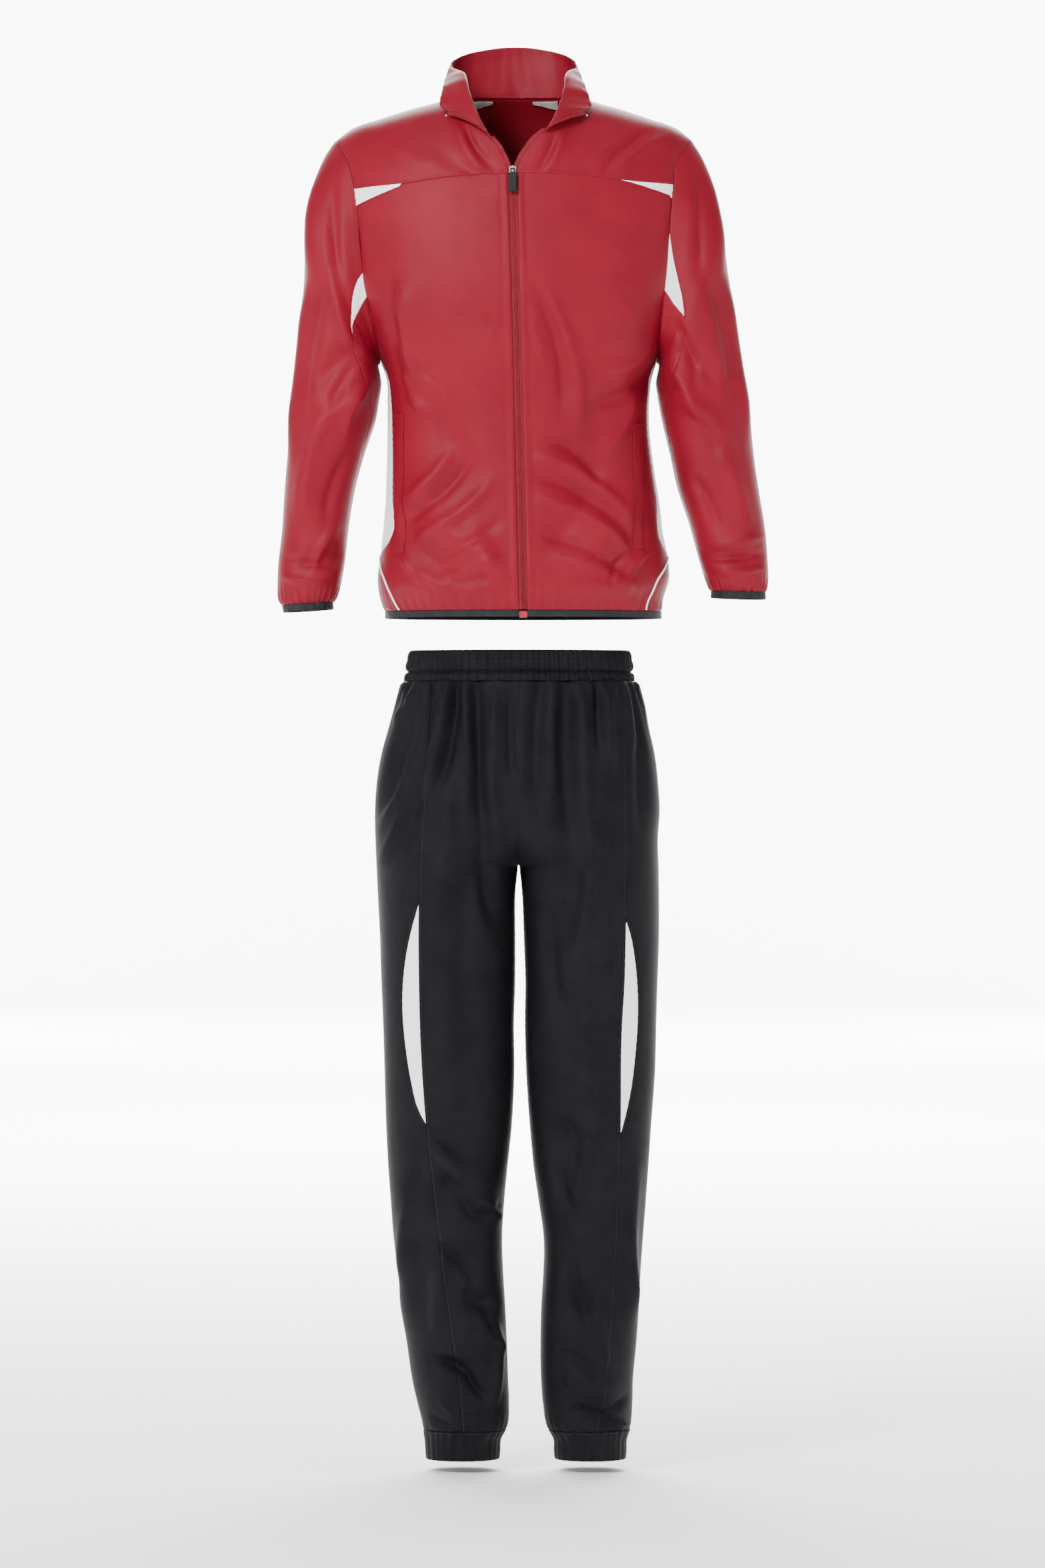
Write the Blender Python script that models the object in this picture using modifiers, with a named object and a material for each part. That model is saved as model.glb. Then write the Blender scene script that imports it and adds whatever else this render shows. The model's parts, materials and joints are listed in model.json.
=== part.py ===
"""A two-piece tracksuit: a zipped jacket with a stand-up collar, and elastic-waist trousers.

The cloth is a thin wall that keeps its worn, hollow form with no wearer inside. The origin is
on the wearer's spine at the height of the side neck. X runs to the viewer's right, Y away from
the viewer and Z up, so the front of the garment faces -Y. Tables and sizes are in millimetres
and degrees, and every point is turned to metres where its mesh is made.

An angle round the body is 0 at the front, 90 at the viewer's right, 180 at the back. An angle
round a sleeve or a leg is told at its own function.
"""
import math

import bmesh
import bpy
import numpy as np
from mathutils import Matrix, Vector
from mathutils.bvhtree import BVHTree

MM = 0.001
WALL = 1.4
SEAM_GAP = 0.36
ROUNDNESS = 0.87
NAME = "tracksuit"

RED = (0.50, 0.045, 0.065)
DARK_RED = (0.22, 0.012, 0.02)
WHITE = (0.86, 0.86, 0.86)
BLACK = (0.018, 0.019, 0.022)
TRIM_BLACK = (0.012, 0.013, 0.015)
GREY_TAPE = (0.62, 0.60, 0.60)
STEEL = (0.55, 0.55, 0.56)
RUBBER = (0.035, 0.036, 0.04)
ZIP_RED = (0.45, 0.04, 0.06)
BOX_RED = (0.72, 0.16, 0.18)


def smooth(keys, values):
    """A smooth curve through points whose keys rise."""
    keys = np.array(keys, float)
    values = np.array(values, float)
    slopes = np.gradient(values, keys)

    def value(key):
        key = np.clip(key, keys[0], keys[-1])
        at = np.clip(np.searchsorted(keys, key) - 1, 0, len(keys) - 2)
        span = keys[at + 1] - keys[at]
        t = (key - keys[at]) / span
        start = values[at] * (1 + 2 * t) * (1 - t) ** 2 + slopes[at] * span * t * (1 - t) ** 2
        end = values[at + 1] * t * t * (3 - 2 * t) + slopes[at + 1] * span * t * t * (t - 1)
        return start + end

    return value


def table(columns, rows):
    """Smooth curves through a table, one for each named column, over its first column."""
    names = columns.split()
    data = np.array(sorted(rows), float)
    return {name: smooth(data[:, 0], data[:, k]) for k, name in enumerate(names) if k}


def spread(value):
    """A sine or cosine squared off a little, so that a section is fuller than an ellipse."""
    return np.sign(value) * np.abs(value) ** ROUNDNESS


def step(value):
    """Smooth step from 0 to 1."""
    value = np.clip(value, 0, 1)
    return value * value * (3 - 2 * value)


# Jacket sizes

TORSO = table("height left right front back", [
    (-684, 173, 187, 112, 108),
    (-673, 174, 188, 113, 109),
    (-657, 180, 190, 119, 115),
    (-631, 184, 198, 124, 120),
    (-604, 181, 197, 123, 119),
    (-569, 177, 190, 120, 115),
    (-534, 174, 186, 118, 112),
    (-482, 172, 178, 117, 110),
    (-429, 171, 172, 118, 111),
    (-395, 171, 172, 121, 114),
    (-368, 172, 175, 125, 117),
    (-345, 180, 182, 128, 119),
    (-307, 199, 196, 131, 122),
    (-252, 220, 211, 134, 125),
    (-187, 229, 219, 131, 126),
    (-148, 233, 221, 125, 126),
    (-117, 236, 223, 118, 125),
    (-78, 245, 228, 109, 122),
    (-54, 249, 237, 104, 120),
    (0, 252, 240, 97, 116),
    (40, 252, 240, 94, 112),
])

# Height of the shoulder ridge by the share of the way from the spine to the shoulder tip.
# Inside the neckline, at a share under 0.4, it only shapes how the front and back lean in.
RIDGE = table("share front back", [
    (0.0, 44, 46),
    (0.10, 42, 42),
    (0.155, 38, 40),
    (0.24, 24, 34),
    (0.32, 8, 21),
    (0.365, 2, 8),
    (0.403, -1, -1),
    (0.588, -13, -13),
    (0.76, -26, -26),
    (0.93, -41, -41),
    (1.0, -54, -54),
    (1.06, -64, -64),
])
SHOULDER_HALF = {-1: 238, 1: 228}
SHOULDER_ROLL = 100

# The armhole: how far its edge lies from the side of the body, as an angle, by height.
ARMHOLE_TOP = -54
ARMHOLE_LOW = -345
ARMHOLE = table("height turn", [
    (-345, 0),
    (-341, 7),
    (-330, 14),
    (-307, 21.5),
    (-280, 25),
    (-252, 26.5),
    (-187, 27.5),
    (-110, 26),
    (-78, 24.5),
    (-66, 21),
    (-54, 17),
])

# Where the armhole's nodes lie, as angles round the sleeve: 0 at the shoulder, 90 in front.
NODES_YOKE = {-1: (57.8, 43, 28, 14, 0), 1: (55, 41, 27, 14, 0)}
CHEST_INSERT_LOW = {-1: 67.6, 1: 63.3}
NODES_FRONT = {-1: (165, 141, 116, 103, 85, 67.6), 1: (165, 139, 112, 97, 82, 63.3)}
NODES_SIDE = (165, 180, 195)
NODES_BACK = (195, 220, 245, 270, 293, 315, 331, 346, 360)
INSERT_NODES = {-1: (103, 116), 1: (82, 112)}

# Seams of the body: the angle of the front's outer seam and of the back's, by height.
BODY_SEAM = table("height front_left front_right back_left back_right", [
    (-684, 59.5, 60, 59.5, 60),
    (-673, 60, 60.5, 60, 60.5),
    (-650, 64.5, 63, 64.5, 63),
    (-630, 70, 66, 70, 66),
    (-615, 78, 75, 78, 75),
    (-602, 85, 84, 85, 84),
    (-583, 70, 75, 94, 92),
    (-560, 65, 74, 99, 98),
    (-530, 69, 78, 104, 103),
    (-482, 71, 79, 106, 105),
    (-429, 73, 79, 105, 104),
    (-395, 75, 80, 103, 102),
    (-364, 80, 81, 99, 99),
    (-341, 83, 83, 97, 97),
])
PANEL_TIP = -602
PANEL_TIP_ANGLE = {-1: 84.7, 1: 84.0}

YOKE_SEAM = table("distance left right", [
    (0, -105, -105),
    (60, -107, -106),
    (110, -112, -110),
    (145, -117, -114),
    (200, -121, -116),
    (240, -124, -117),
])
INSERT_SEAM = table("distance left right", [
    (120, -113, -110),
    (145, -118.5, -115.5),
    (180, -131, -125),
    (215, -145, -135),
    (240, -154, -142),
])
INSERT_TIP = {-1: 152, 1: 135}

# The neckline, from the front end of the collar seam to the side neck, as seen from in front.
NECK_FRONT = {
    -1: ((37, -57), (47, -46), (57, -35), (67, -23), (76, -13), (86, -6), (95.5, -1.5)),
    1: ((38, -48), (47, -40), (57, -31), (67, -21), (76, -12.5), (84, -6), (91.5, -1.5)),
}
NECK_BACK = ((0, 10.5), (24, 10.5), (57, 10), (76, 8), (88, 4), (95.5, -1.5))
FRONT_EDGE = {
    -1: ((-12.5, -106), (-13, -99), (-17, -88), (-25, -72), (-37, -57)),
    1: ((-1.5, -106), (-1, -97), (6, -82), (20, -62), (38, -48)),
}

ZIP_TOP = -98
ZIP_SHIFT_TOP = -7
ZIP_SHIFT_LOW = 7
HEM = -673
HEM_BINDING = 8.5
ZIP_HALF = 5.5

BODY_LEVELS = (-673, -650, -630, -615, -602, -583, -556, -515, -470, -425, -385, -358)

# The collar's rim and roll, as control points over each place on the neckline: share 0 is the
# middle of the back and 1 the front end of the collar.
COLLAR_RISE = table("share roll_x roll_y roll_z top_x top_y top_z top_right", [
    (0.00, 0, 99, 44, 0, 96, 78, 0),
    (0.10, 24, 98, 44, 20, 95, 77, -1),
    (0.25, 62, 87, 40, 60, 84, 69, -3),
    (0.36, 81, 67, 36, 77, 62, 60, -5),
    (0.47, 82, 22, 42, 85, 24, 50, -6),
    (0.60, 48, -17, 50, 92, -12, 27, -5),
    (0.74, 42, -66, 26, 96, -40, 9, -3),
    (0.87, 38, -105, -4, 99, -56, -13, 0),
    (1.00, 42, -124, -36, 87, -76, -22, 2),
])
COLLAR_LIFT = 1.0

# Sleeves: each ring's outer and inner edge as seen from in front, its half depth and the depth
# of its middle. Ring 0 is the armhole.
SLEEVE = {
    -1: table("ring outer_x outer_z inner_x inner_z half middle", [
        (0, -239, -54, -180, -345, 66, 0),
        (1, -255, -79, -183, -349, 69, 0),
        (2, -268, -112, -183, -353, 73, 0),
        (3, -277, -150, -182, -358, 76, 0),
        (4, -279, -195, -181, -363, 78, -1),
        (5, -281, -245, -180, -369, 78, -2),
        (6, -287, -305, -180, -378, 77, -3),
        (7, -294, -370, -183, -398, 75, -4),
        (8, -299, -415, -188, -425, 72, -6),
        (9, -302, -465, -202, -467, 68, -8),
        (10, -306, -515, -214, -512, 64, -11),
        (11, -309, -565, -222, -560, 60, -14),
        (12, -314, -610, -227, -605, 57, -17),
        (13, -315, -640, -232, -635, 51, -19),
        (14, -313, -656, -238, -652, 44, -20),
        (15, -308, -665, -243, -661, 39, -20),
        (16, -306, -674, -244, -670, 38, -20),
    ]),
    1: table("ring outer_x outer_z inner_x inner_z half middle", [
        (0, 228, -54, 182, -345, 66, 0),
        (1, 243, -79, 185, -349, 69, 0),
        (2, 256, -112, 185, -353, 73, 0),
        (3, 264, -150, 184, -358, 76, 0),
        (4, 271, -195, 183, -363, 78, -1),
        (5, 278, -245, 182, -369, 78, -2),
        (6, 287, -305, 182, -378, 77, -3),
        (7, 297, -370, 185, -398, 75, -4),
        (8, 304, -415, 190, -425, 72, -6),
        (9, 309, -465, 200, -467, 68, -8),
        (10, 316, -515, 210, -512, 64, -11),
        (11, 324, -565, 225, -558, 60, -14),
        (12, 327, -603, 236, -598, 57, -17),
        (13, 328, -626, 243, -622, 51, -19),
        (14, 326, -641, 250, -638, 44, -20),
        (15, 324, -648, 254, -646, 39, -20),
        (16, 323, -657, 255, -655, 38, -20),
    ]),
}
CUFF_RING = 15
SLEEVE_SEAM_LIFT = 2.2
SLEEVE_RINGS = (0, 0.6, 1.5, 2.6, 3.6, 4.5, 5.7, 7.0, 8.4, 9.8, 11.2, 12.4, 13.4, 14.2, 14.95)

# The white insert on the sleeve: its upper and lower edge as angles, by ring. Past its tip the
# two edges are the sleeve's own seam.
INSERT_EDGES = {
    -1: table("ring upper lower", [
        (0, 103, 116), (1, 102.5, 115.5), (2, 102, 114), (3, 102.5, 110), (4.5, 103.0, 105.0),
        (6, 120, 120.8), (8, 150, 150.7), (10, 168, 168.7), (15, 176, 176.7),
    ]),
    1: table("ring upper lower", [
        (0, 82, 112), (0.5, 90, 112), (1.5, 97, 111), (2.7, 99, 106), (3.6, 100.0, 102.0),
        (6, 120, 120.8), (8, 150, 150.7), (10, 168, 168.7), (15, 176, 176.7),
    ]),
}
INSERT_LAST = {-1: 4.5, 1: 3.6}

# Trousers sizes. Each leg's outer edge, inner edge below the crotch, and depths by height.
CROTCH = -1008
CROTCH_RISE = 135
SEAT_MIDDLE = 1
SEAT_CLEAR_TOP = 0.1
SEAT_CLEAR_LOW = 1.5
LEG = {
    -1: table("height outer inner front back", [
        (-1784, -119, -26, 57, 60),
        (-1775, -120, -25, 58, 61),
        (-1759, -121, -24, 60, 63),
        (-1742, -124, -15, 67, 72),
        (-1710, -132, -12, 72, 80),
        (-1686, -137.5, -13, 75, 82),
        (-1630, -146, -15, 76, 84),
        (-1575, -155, -17.5, 78, 86),
        (-1552, -156, -19, 79, 87),
        (-1494, -163, -21, 81, 89),
        (-1443, -167, -18, 83, 90),
        (-1402, -170, -14, 84, 91),
        (-1343, -173, -8, 87, 93),
        (-1273, -175, -5, 91, 96),
        (-1209, -177, -5.5, 95, 99),
        (-1161, -179, -4, 99, 102),
        (-1098, -181, -3.8, 104, 106),
        (-1040, -184, -3.6, 110, 112),
        (-1008, -185.5, -0.6, 113, 118),
        (-973, -187, 0, 116, 124),
        (-930, -187.5, 0, 117, 128),
        (-905, -186, 0, 116, 128),
        (-855, -178, 0, 113, 123),
        (-827, -170, 0, 110, 117),
        (-797, -161, 0, 105, 109),
        (-775, -154, 0, 101, 102),
        (-764, -150, 0, 98.5, 99),
    ]),
    1: table("height outer inner front back", [
        (-1784, 140, 50, 57, 60),
        (-1775, 141, 49, 58, 61),
        (-1759, 141.5, 48.5, 60, 63),
        (-1742, 147, 39, 67, 72),
        (-1710, 150, 33, 72, 80),
        (-1686, 150.5, 31, 75, 82),
        (-1630, 155.5, 30, 76, 84),
        (-1575, 159, 31.5, 78, 86),
        (-1552, 160, 33, 79, 87),
        (-1494, 164, 34, 81, 89),
        (-1443, 168, 27, 83, 90),
        (-1402, 171, 21, 84, 91),
        (-1343, 175, 15.5, 87, 93),
        (-1273, 180, 11, 91, 96),
        (-1209, 181.5, 9.5, 95, 99),
        (-1161, 183, 10, 99, 102),
        (-1098, 185, 8, 104, 106),
        (-1040, 185, 5.6, 110, 112),
        (-1008, 184.5, 2.6, 113, 118),
        (-973, 183.5, 0, 116, 124),
        (-930, 186, 0, 117, 128),
        (-905, 184.5, 0, 116, 128),
        (-855, 178.5, 0, 113, 123),
        (-827, 172, 0, 110, 117),
        (-797, 166, 0, 105, 109),
        (-775, 159, 0, 101, 102),
        (-764, 155, 0, 98.5, 99),
    ]),
}

# The front seam of each leg, and the outer edge of its crescent, as seen from in front.
LEG_SEAM = table("height left right", [
    (-1784, -72, 104),
    (-1745, -73, 106),
    (-1708, -76, 112),
    (-1590, -92, 124),
    (-1450, -109, 131),
    (-1341, -120, 134),
    (-1231, -127, 135),
    (-1147, -129, 139),
    (-1057, -129, 141),
    (-911, -125, 143),
    (-833, -118, 143),
    (-764, -114, 138),
])
CRESCENT = {
    -1: table("height edge", [
        (-1341, -120.6), (-1325, -129), (-1285, -139.5), (-1245, -146), (-1181, -150.5),
        (-1119, -145), (-1085, -137.5), (-1057, -129.6),
    ]),
    1: table("height edge", [
        (-1353, 134.6), (-1337, 139), (-1300, 147), (-1253, 153), (-1189, 156.5),
        (-1125, 152), (-1097, 147), (-1079, 141.6),
    ]),
}
CRESCENT_TIPS = {-1: (-1341, -1057), 1: (-1353, -1079)}
SIDE_SEAM = 192
LEG_TOP = -764.8
HEM_BAND_TOP = -1745

WAIST = table("height left right front back", [
    (-764.2, 148, 152, 98, 98),
    (-756, 147, 151, 97.5, 97.5),
    (-752, 143.5, 147.5, 94, 94),
    (-748, 145.5, 150, 96.5, 96.5),
    (-736, 144, 148.5, 96, 96),
    (-727, 141.5, 146.5, 94, 94),
    (-724.5, 139.5, 144.5, 92, 92),
])
WAIST_LEVELS = (-764.2, -756, -752, -748, -727, -724.5)
WAIST_WALL = 2.4
WAIST_WAVES = 22
WAIST_WAVE_HEIGHT = 1.1

# Folds, as seen from in front or from behind: a soft ridge, or a trough where its height is
# below zero, from one point to another. Bow bends it sideways, width is its half width.
TORSO_FRONT_FOLDS = (
    # x_from z_from x_to z_to bow width height
    (-150, -250, -95, -430, 10, 26, 4.0),
    (-120, -330, -60, -520, 8, 22, -4.0),
    (-130, -500, -40, -610, 12, 16, 4.0),
    (-150, -560, -70, -640, 8, 14, -4.0),
    (-60, -560, -15, -640, 4, 14, 3.0),
    (150, -240, 100, -420, -10, 26, 4.0),
    (130, -320, 70, -520, -8, 22, -3.5),
    (150, -520, 60, -630, -10, 16, 4.0),
    (110, -480, 30, -600, -8, 16, -3.5),
    (-150, -640, -30, -650, -4, 9, 3.0),
    (160, -640, 30, -652, 4, 9, 3.0),
)
TORSO_BACK_FOLDS = (
    (-150, -250, -60, -420, 12, 26, 4.0),
    (140, -260, 70, -450, -10, 26, 4.0),
    (-120, -480, 20, -600, 12, 20, -4.5),
    (120, -500, -10, -620, -12, 20, -4.0),
    (-150, -620, 0, -648, 4, 12, 4.0),
    (160, -630, 20, -650, -4, 12, 3.5),
)
LEG_FRONT_FOLDS = (
    (-80, -766, -103, -900, -4, 9, -7.0),
    (-52, -766, -45, -960, 4, 10, -7.5),
    (-45, -960, -28, -1085, 4, 13, -6.0),
    (-92, -766, -128, -935, -6, 9, 5.0),
    (-10, -766, -8, -900, 2, 7, -5.0),
    (26, -766, 22, -960, 2, 11, -6.0),
    (62, -766, 70, -990, 4, 14, -7.0),
    (70, -990, 55, -1120, -4, 16, -5.0),
    (118, -766, 122, -880, 2, 9, 5.0),
    (-140, -800, -183, -940, -8, 12, -5.0),
    (-125, -900, -180, -1010, -8, 12, -4.0),
    (-110, -1380, -30, -1470, -16, 16, 5.0),
    (-120, -1470, -130, -1600, 4, 16, -6.0),
    (-70, -1560, -30, -1580, 4, 14, -6.0),
    (-110, -1640, -40, -1700, -8, 12, -5.0),
    (60, -1340, 80, -1400, 4, 18, -4.0),
    (152, -1400, 147, -1600, 4, 9, 4.0),
    (60, -1560, 115, -1570, 4, 22, -5.0),
    (70, -1716, 132, -1742, -6, 8, -5.0),
    (60, -1690, 130, -1690, -6, 10, 4.0),
)
LEG_BACK_FOLDS = (
    (-120, -766, -130, -880, -4, 11, -5.0),
    (-70, -766, -72, -900, 2, 12, -6.0),
    (-25, -766, -22, -860, 2, 10, -4.5),
    (30, -766, 28, -870, 2, 10, -4.5),
    (80, -766, 84, -900, -2, 12, -6.0),
    (128, -766, 136, -880, 4, 11, -5.0),
    (-40, -1010, -140, -1050, 10, 14, -5.0),
    (40, -1010, 140, -1050, -10, 14, -5.0),
    (-140, -1350, -40, -1400, -10, 18, -5.0),
    (150, -1360, 50, -1410, 10, 18, -5.0),
    (-130, -1600, -40, -1650, -8, 16, -5.0),
    (140, -1600, 50, -1660, 8, 16, -5.0),
    (-110, -1700, -40, -1722, -4, 10, 4.0),
    (130, -1700, 60, -1722, 4, 10, 4.0),
)
SLEEVE_FRONT_FOLDS = (
    (-205, -330, -262, -380, 6, 13, -4.5),
    (-200, -390, -270, -450, 8, 14, 4.0),
    (-225, -600, -300, -625, 4, 12, -3.5),
    (205, -330, 262, -380, -6, 13, -4.5),
    (205, -390, 275, -460, -8, 14, 4.0),
    (240, -595, 315, -615, -4, 12, -3.5),
)
SLEEVE_BACK_FOLDS = (
    (-205, -340, -275, -390, 6, 14, -4.5),
    (-205, -430, -290, -500, 8, 16, 4.0),
    (205, -340, 275, -390, -6, 14, -4.5),
    (205, -430, 295, -500, -8, 16, 4.0),
)


def fold_height(x, z, folds):
    """How far the folds lift the cloth at a place seen from in front or behind."""
    lift = np.zeros(np.broadcast(x, z).shape)
    for x_from, z_from, x_to, z_to, bow, width, height in folds:
        run = np.array((x_to - x_from, z_to - z_from), float)
        length = np.hypot(*run)
        run /= length
        along = ((x - x_from) * run[0] + (z - z_from) * run[1]) / length
        across = (x - x_from) * run[1] - (z - z_from) * run[0]
        bend = bow * 4 * np.clip(along, 0, 1) * (1 - np.clip(along, 0, 1))
        ends = step((along + 0.15) / 0.35) * step((1.15 - along) / 0.45)
        lift = lift + height * ends * np.exp(-((across - bend) / width) ** 2)
    return lift


def outward(surface, first, second, first_step, second_step):
    """Unit normals of a surface by small steps, as the cross product of its two directions."""
    along = surface(first + first_step, second) - surface(first - first_step, second)
    up = surface(first, second + second_step) - surface(first, second - second_step)
    normal = np.cross(along, up)
    length = np.linalg.norm(normal, axis=-1, keepdims=True)
    return normal / np.maximum(length, 1e-9)


# Jacket surfaces

def torso_plain(angle, height):
    sine = np.sin(np.radians(angle))
    cosine = np.cos(np.radians(angle))
    left = sine < 0
    in_front = cosine > 0
    half = np.where(left, TORSO["left"](height), TORSO["right"](height))
    x = half * spread(sine)
    ring = np.where(in_front, TORSO["front"](height), TORSO["back"](height)) * np.abs(spread(cosine))
    share = np.abs(x) / np.where(left, SHOULDER_HALF[-1], SHOULDER_HALF[1])
    ridge = np.where(in_front, RIDGE["front"](share), RIDGE["back"](share))
    down = np.clip((ridge - height) / SHOULDER_ROLL, 0, 1)
    lean = np.sqrt(1 - (1 - down) ** 2)
    half_gap = SEAM_GAP / 2
    y = np.where(in_front, -1, 1) * (half_gap + (ring - half_gap) * lean)
    return np.stack(np.broadcast_arrays(x, y, height * np.ones_like(x)), axis=-1)


def torso_normal(angle, height):
    return outward(torso_plain, angle, height, 0.5, 1.0)


def torso(angle, height, out=0.0):
    """A point of the jacket's body, moved out from its cloth by a distance."""
    out = np.asarray(out, float)
    plain = torso_plain(angle, height)
    x, z = plain[..., 0], plain[..., 2]
    facing = np.cos(np.radians(angle))
    front = fold_height(x, z, TORSO_FRONT_FOLDS) * step(facing / 0.4)
    back = fold_height(x, z, TORSO_BACK_FOLDS) * step(-facing / 0.4)
    from_zip = step((np.abs(x - zip_x(z)) - ZIP_HALF) / 25)
    lift = front * from_zip + back
    return plain + torso_normal(angle, height) * (lift + out)[..., None]


def zip_x(height):
    """Where the middle of the zip lies at a height."""
    along = (ZIP_TOP - height) / (ZIP_TOP - HEM)
    return ZIP_SHIFT_TOP + (ZIP_SHIFT_LOW - ZIP_SHIFT_TOP) * np.clip(along, 0, 1.02)


def angle_at(x, height):
    """The angle of the front of the body that lies at x as seen from in front."""
    x = np.asarray(x, float)
    half = np.where(x < 0, TORSO["left"](height), TORSO["right"](height))
    sine = np.clip(np.abs(x) / half, 0, 1) ** (1 / ROUNDNESS)
    return np.sign(x) * np.degrees(np.arcsin(sine))


def armhole_node(side, turn):
    """Angle and height of the armhole's edge at an angle round the sleeve."""
    turn = np.asarray(turn, float)
    height = ARMHOLE_LOW + (ARMHOLE_TOP - ARMHOLE_LOW) * (1 + np.cos(np.radians(turn))) / 2
    away = ARMHOLE["turn"](height)
    angle = np.where(turn < 180, 90 - away, 90 + away)
    return side * angle, height


def armhole(side, turn):
    """The sleeve's edge at the armhole. Low down it lies outside the body's wall."""
    angle, height = armhole_node(side, turn)
    from_top = np.minimum(turn, 360 - turn)
    return torso(angle, height, out=SLEEVE_SEAM_LIFT * step((from_top - 45) / 30))


def sleeve_plain(side, ring, turn):
    rows = SLEEVE[side]
    outer = np.stack((rows["outer_x"](ring), rows["outer_z"](ring)), axis=-1)
    inner = np.stack((rows["inner_x"](ring), rows["inner_z"](ring)), axis=-1)
    middle = (outer + inner) / 2
    reach = (outer - inner) / 2
    cosine = spread(np.cos(np.radians(turn)))
    sine = spread(np.sin(np.radians(turn)))
    x = middle[..., 0] + reach[..., 0] * cosine
    z = middle[..., 1] + reach[..., 1] * cosine
    y = rows["middle"](ring) - rows["half"](ring) * sine
    return np.stack(np.broadcast_arrays(x, y, z), axis=-1)


ARMHOLE_BLEND = 3.5


def sleeve_joined(side, ring, turn):
    turn = turn % 360
    fade = 1 - step(ring / ARMHOLE_BLEND)
    fix = armhole(side, turn) - sleeve_plain(side, np.zeros_like(turn), turn)
    return sleeve_plain(side, ring, turn) + fix * fade[..., None]


def sleeve(side, ring, turn, out=0.0):
    """A point of a sleeve. Its angle is 0 on the outer side, 90 in front and 180 at the body."""
    ring, turn = np.broadcast_arrays(np.asarray(ring, float), np.asarray(turn, float))
    ring = np.maximum(ring, 0.02)
    point = sleeve_joined(side, ring, turn)
    normal = side * outward(lambda a, b: sleeve_joined(side, b, a), turn, ring, 1.0, 0.02)
    x, z = point[..., 0], point[..., 2]
    facing = np.sin(np.radians(turn))
    front = fold_height(x, z, SLEEVE_FRONT_FOLDS) * step(facing / 0.5)
    back = fold_height(x, z, SLEEVE_BACK_FOLDS) * step(-facing / 0.5)
    clear = step((ring - 1) / 3)
    lift = (front + back) * clear
    return point + normal * (lift + out)[..., None]


# Trousers surfaces

def seat_cut(height):
    """How far round a leg its inner edge is cut by the middle plane, above the crotch."""
    up = np.clip((height - CROTCH) / CROTCH_RISE, 0, 1)
    return 90 * np.sqrt(1 - (1 - up) ** 2)


def leg_inner(side, height):
    """The inner edge of a leg: below the crotch from its table, above it the middle plane."""
    clear = SEAT_CLEAR_TOP + (SEAT_CLEAR_LOW - SEAT_CLEAR_TOP) * step((-880 - height) / 70)
    return np.where(height > CROTCH, SEAT_MIDDLE + side * clear, LEG[side]["inner"](height))


def leg_plain(side, turn, height):
    rows = LEG[side]
    outer = rows["outer"](height)
    inner = leg_inner(side, height)
    width = np.abs(outer - inner)
    cut = np.where(height > CROTCH, spread(np.cos(np.radians(seat_cut(height)))), 1.0)
    half = width / (1 + cut)
    middle = inner + side * half * cut
    x = middle - side * half * spread(np.cos(np.radians(turn)))
    sine = np.sin(np.radians(turn))
    depth = np.where(sine > 0, rows["front"](height), rows["back"](height))
    y = -depth * spread(sine)
    return np.stack(np.broadcast_arrays(x, y, height * np.ones_like(x)), axis=-1)


def leg(side, turn, height, out=0.0):
    """A point of a leg. Its angle is 0 at the inseam, 90 in front and 180 on the outer side."""
    turn, height = np.broadcast_arrays(np.asarray(turn, float), np.asarray(height, float))
    point = leg_plain(side, turn, height)
    normal = side * outward(lambda a, b: leg_plain(side, a, b), turn, height, 0.5, 1.0)
    x, z = point[..., 0], point[..., 2]
    facing = np.sin(np.radians(turn))
    front = fold_height(x, z, LEG_FRONT_FOLDS) * step(facing / 0.5)
    back = fold_height(x, z, LEG_BACK_FOLDS) * step(-facing / 0.5)
    at_crotch = 1 - step((130 - np.abs(height - CROTCH)) / 60) * step((40 - np.abs(x - SEAT_MIDDLE)) / 30)
    lift = (front + back) * at_crotch
    return point + normal * (lift + out)[..., None]


def leg_angle(side, x, height):
    """The angle of the front of a leg that lies at x as seen from in front."""
    outer = LEG[side]["outer"](height)
    inner = leg_inner(side, height)
    cut = np.where(height > CROTCH, spread(np.cos(np.radians(seat_cut(height)))), 1.0)
    half = np.abs(outer - inner) / (1 + cut)
    middle = inner + side * half * cut
    share = np.clip((middle - x) * side / half, -1, 1)
    cosine = np.sign(share) * np.abs(share) ** (1 / ROUNDNESS)
    return np.degrees(np.arccos(cosine))


# Making pieces

# Gaps from each seam in millimetres: bottom, top, first and last edge.
TOP_PANEL_GAPS = (0.18, 0.25, 0.18, 0.18)
CHEST_INSERT_GAPS = (0.1, 0.1, 0.1, 0.18)
SIDE_PANEL_GAPS = (0.18, 0.18, 0.3, 0.3)
SLEEVE_GAPS = (0.2, 0.4, 0.45, 0.45)
COLLAR_GAPS = (0.3, 0, 0.2, 0.2)
LAYER_GAPS = (0.1, 0.1, 0.1, 0.1)
HEM_BINDING_GAPS = (0, 0.35, 0.3, 0.3)
ZIP_CHAIN_GAPS = (0, 0, 0.18, 0.18)
LEG_GAPS = (0.3, 0.2, 0.2, 0.2)
CRESCENT_GAPS = (0.1, 0.1, 0.2, 0.2)
NO_GAPS = (0, 0, 0, 0)

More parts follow.
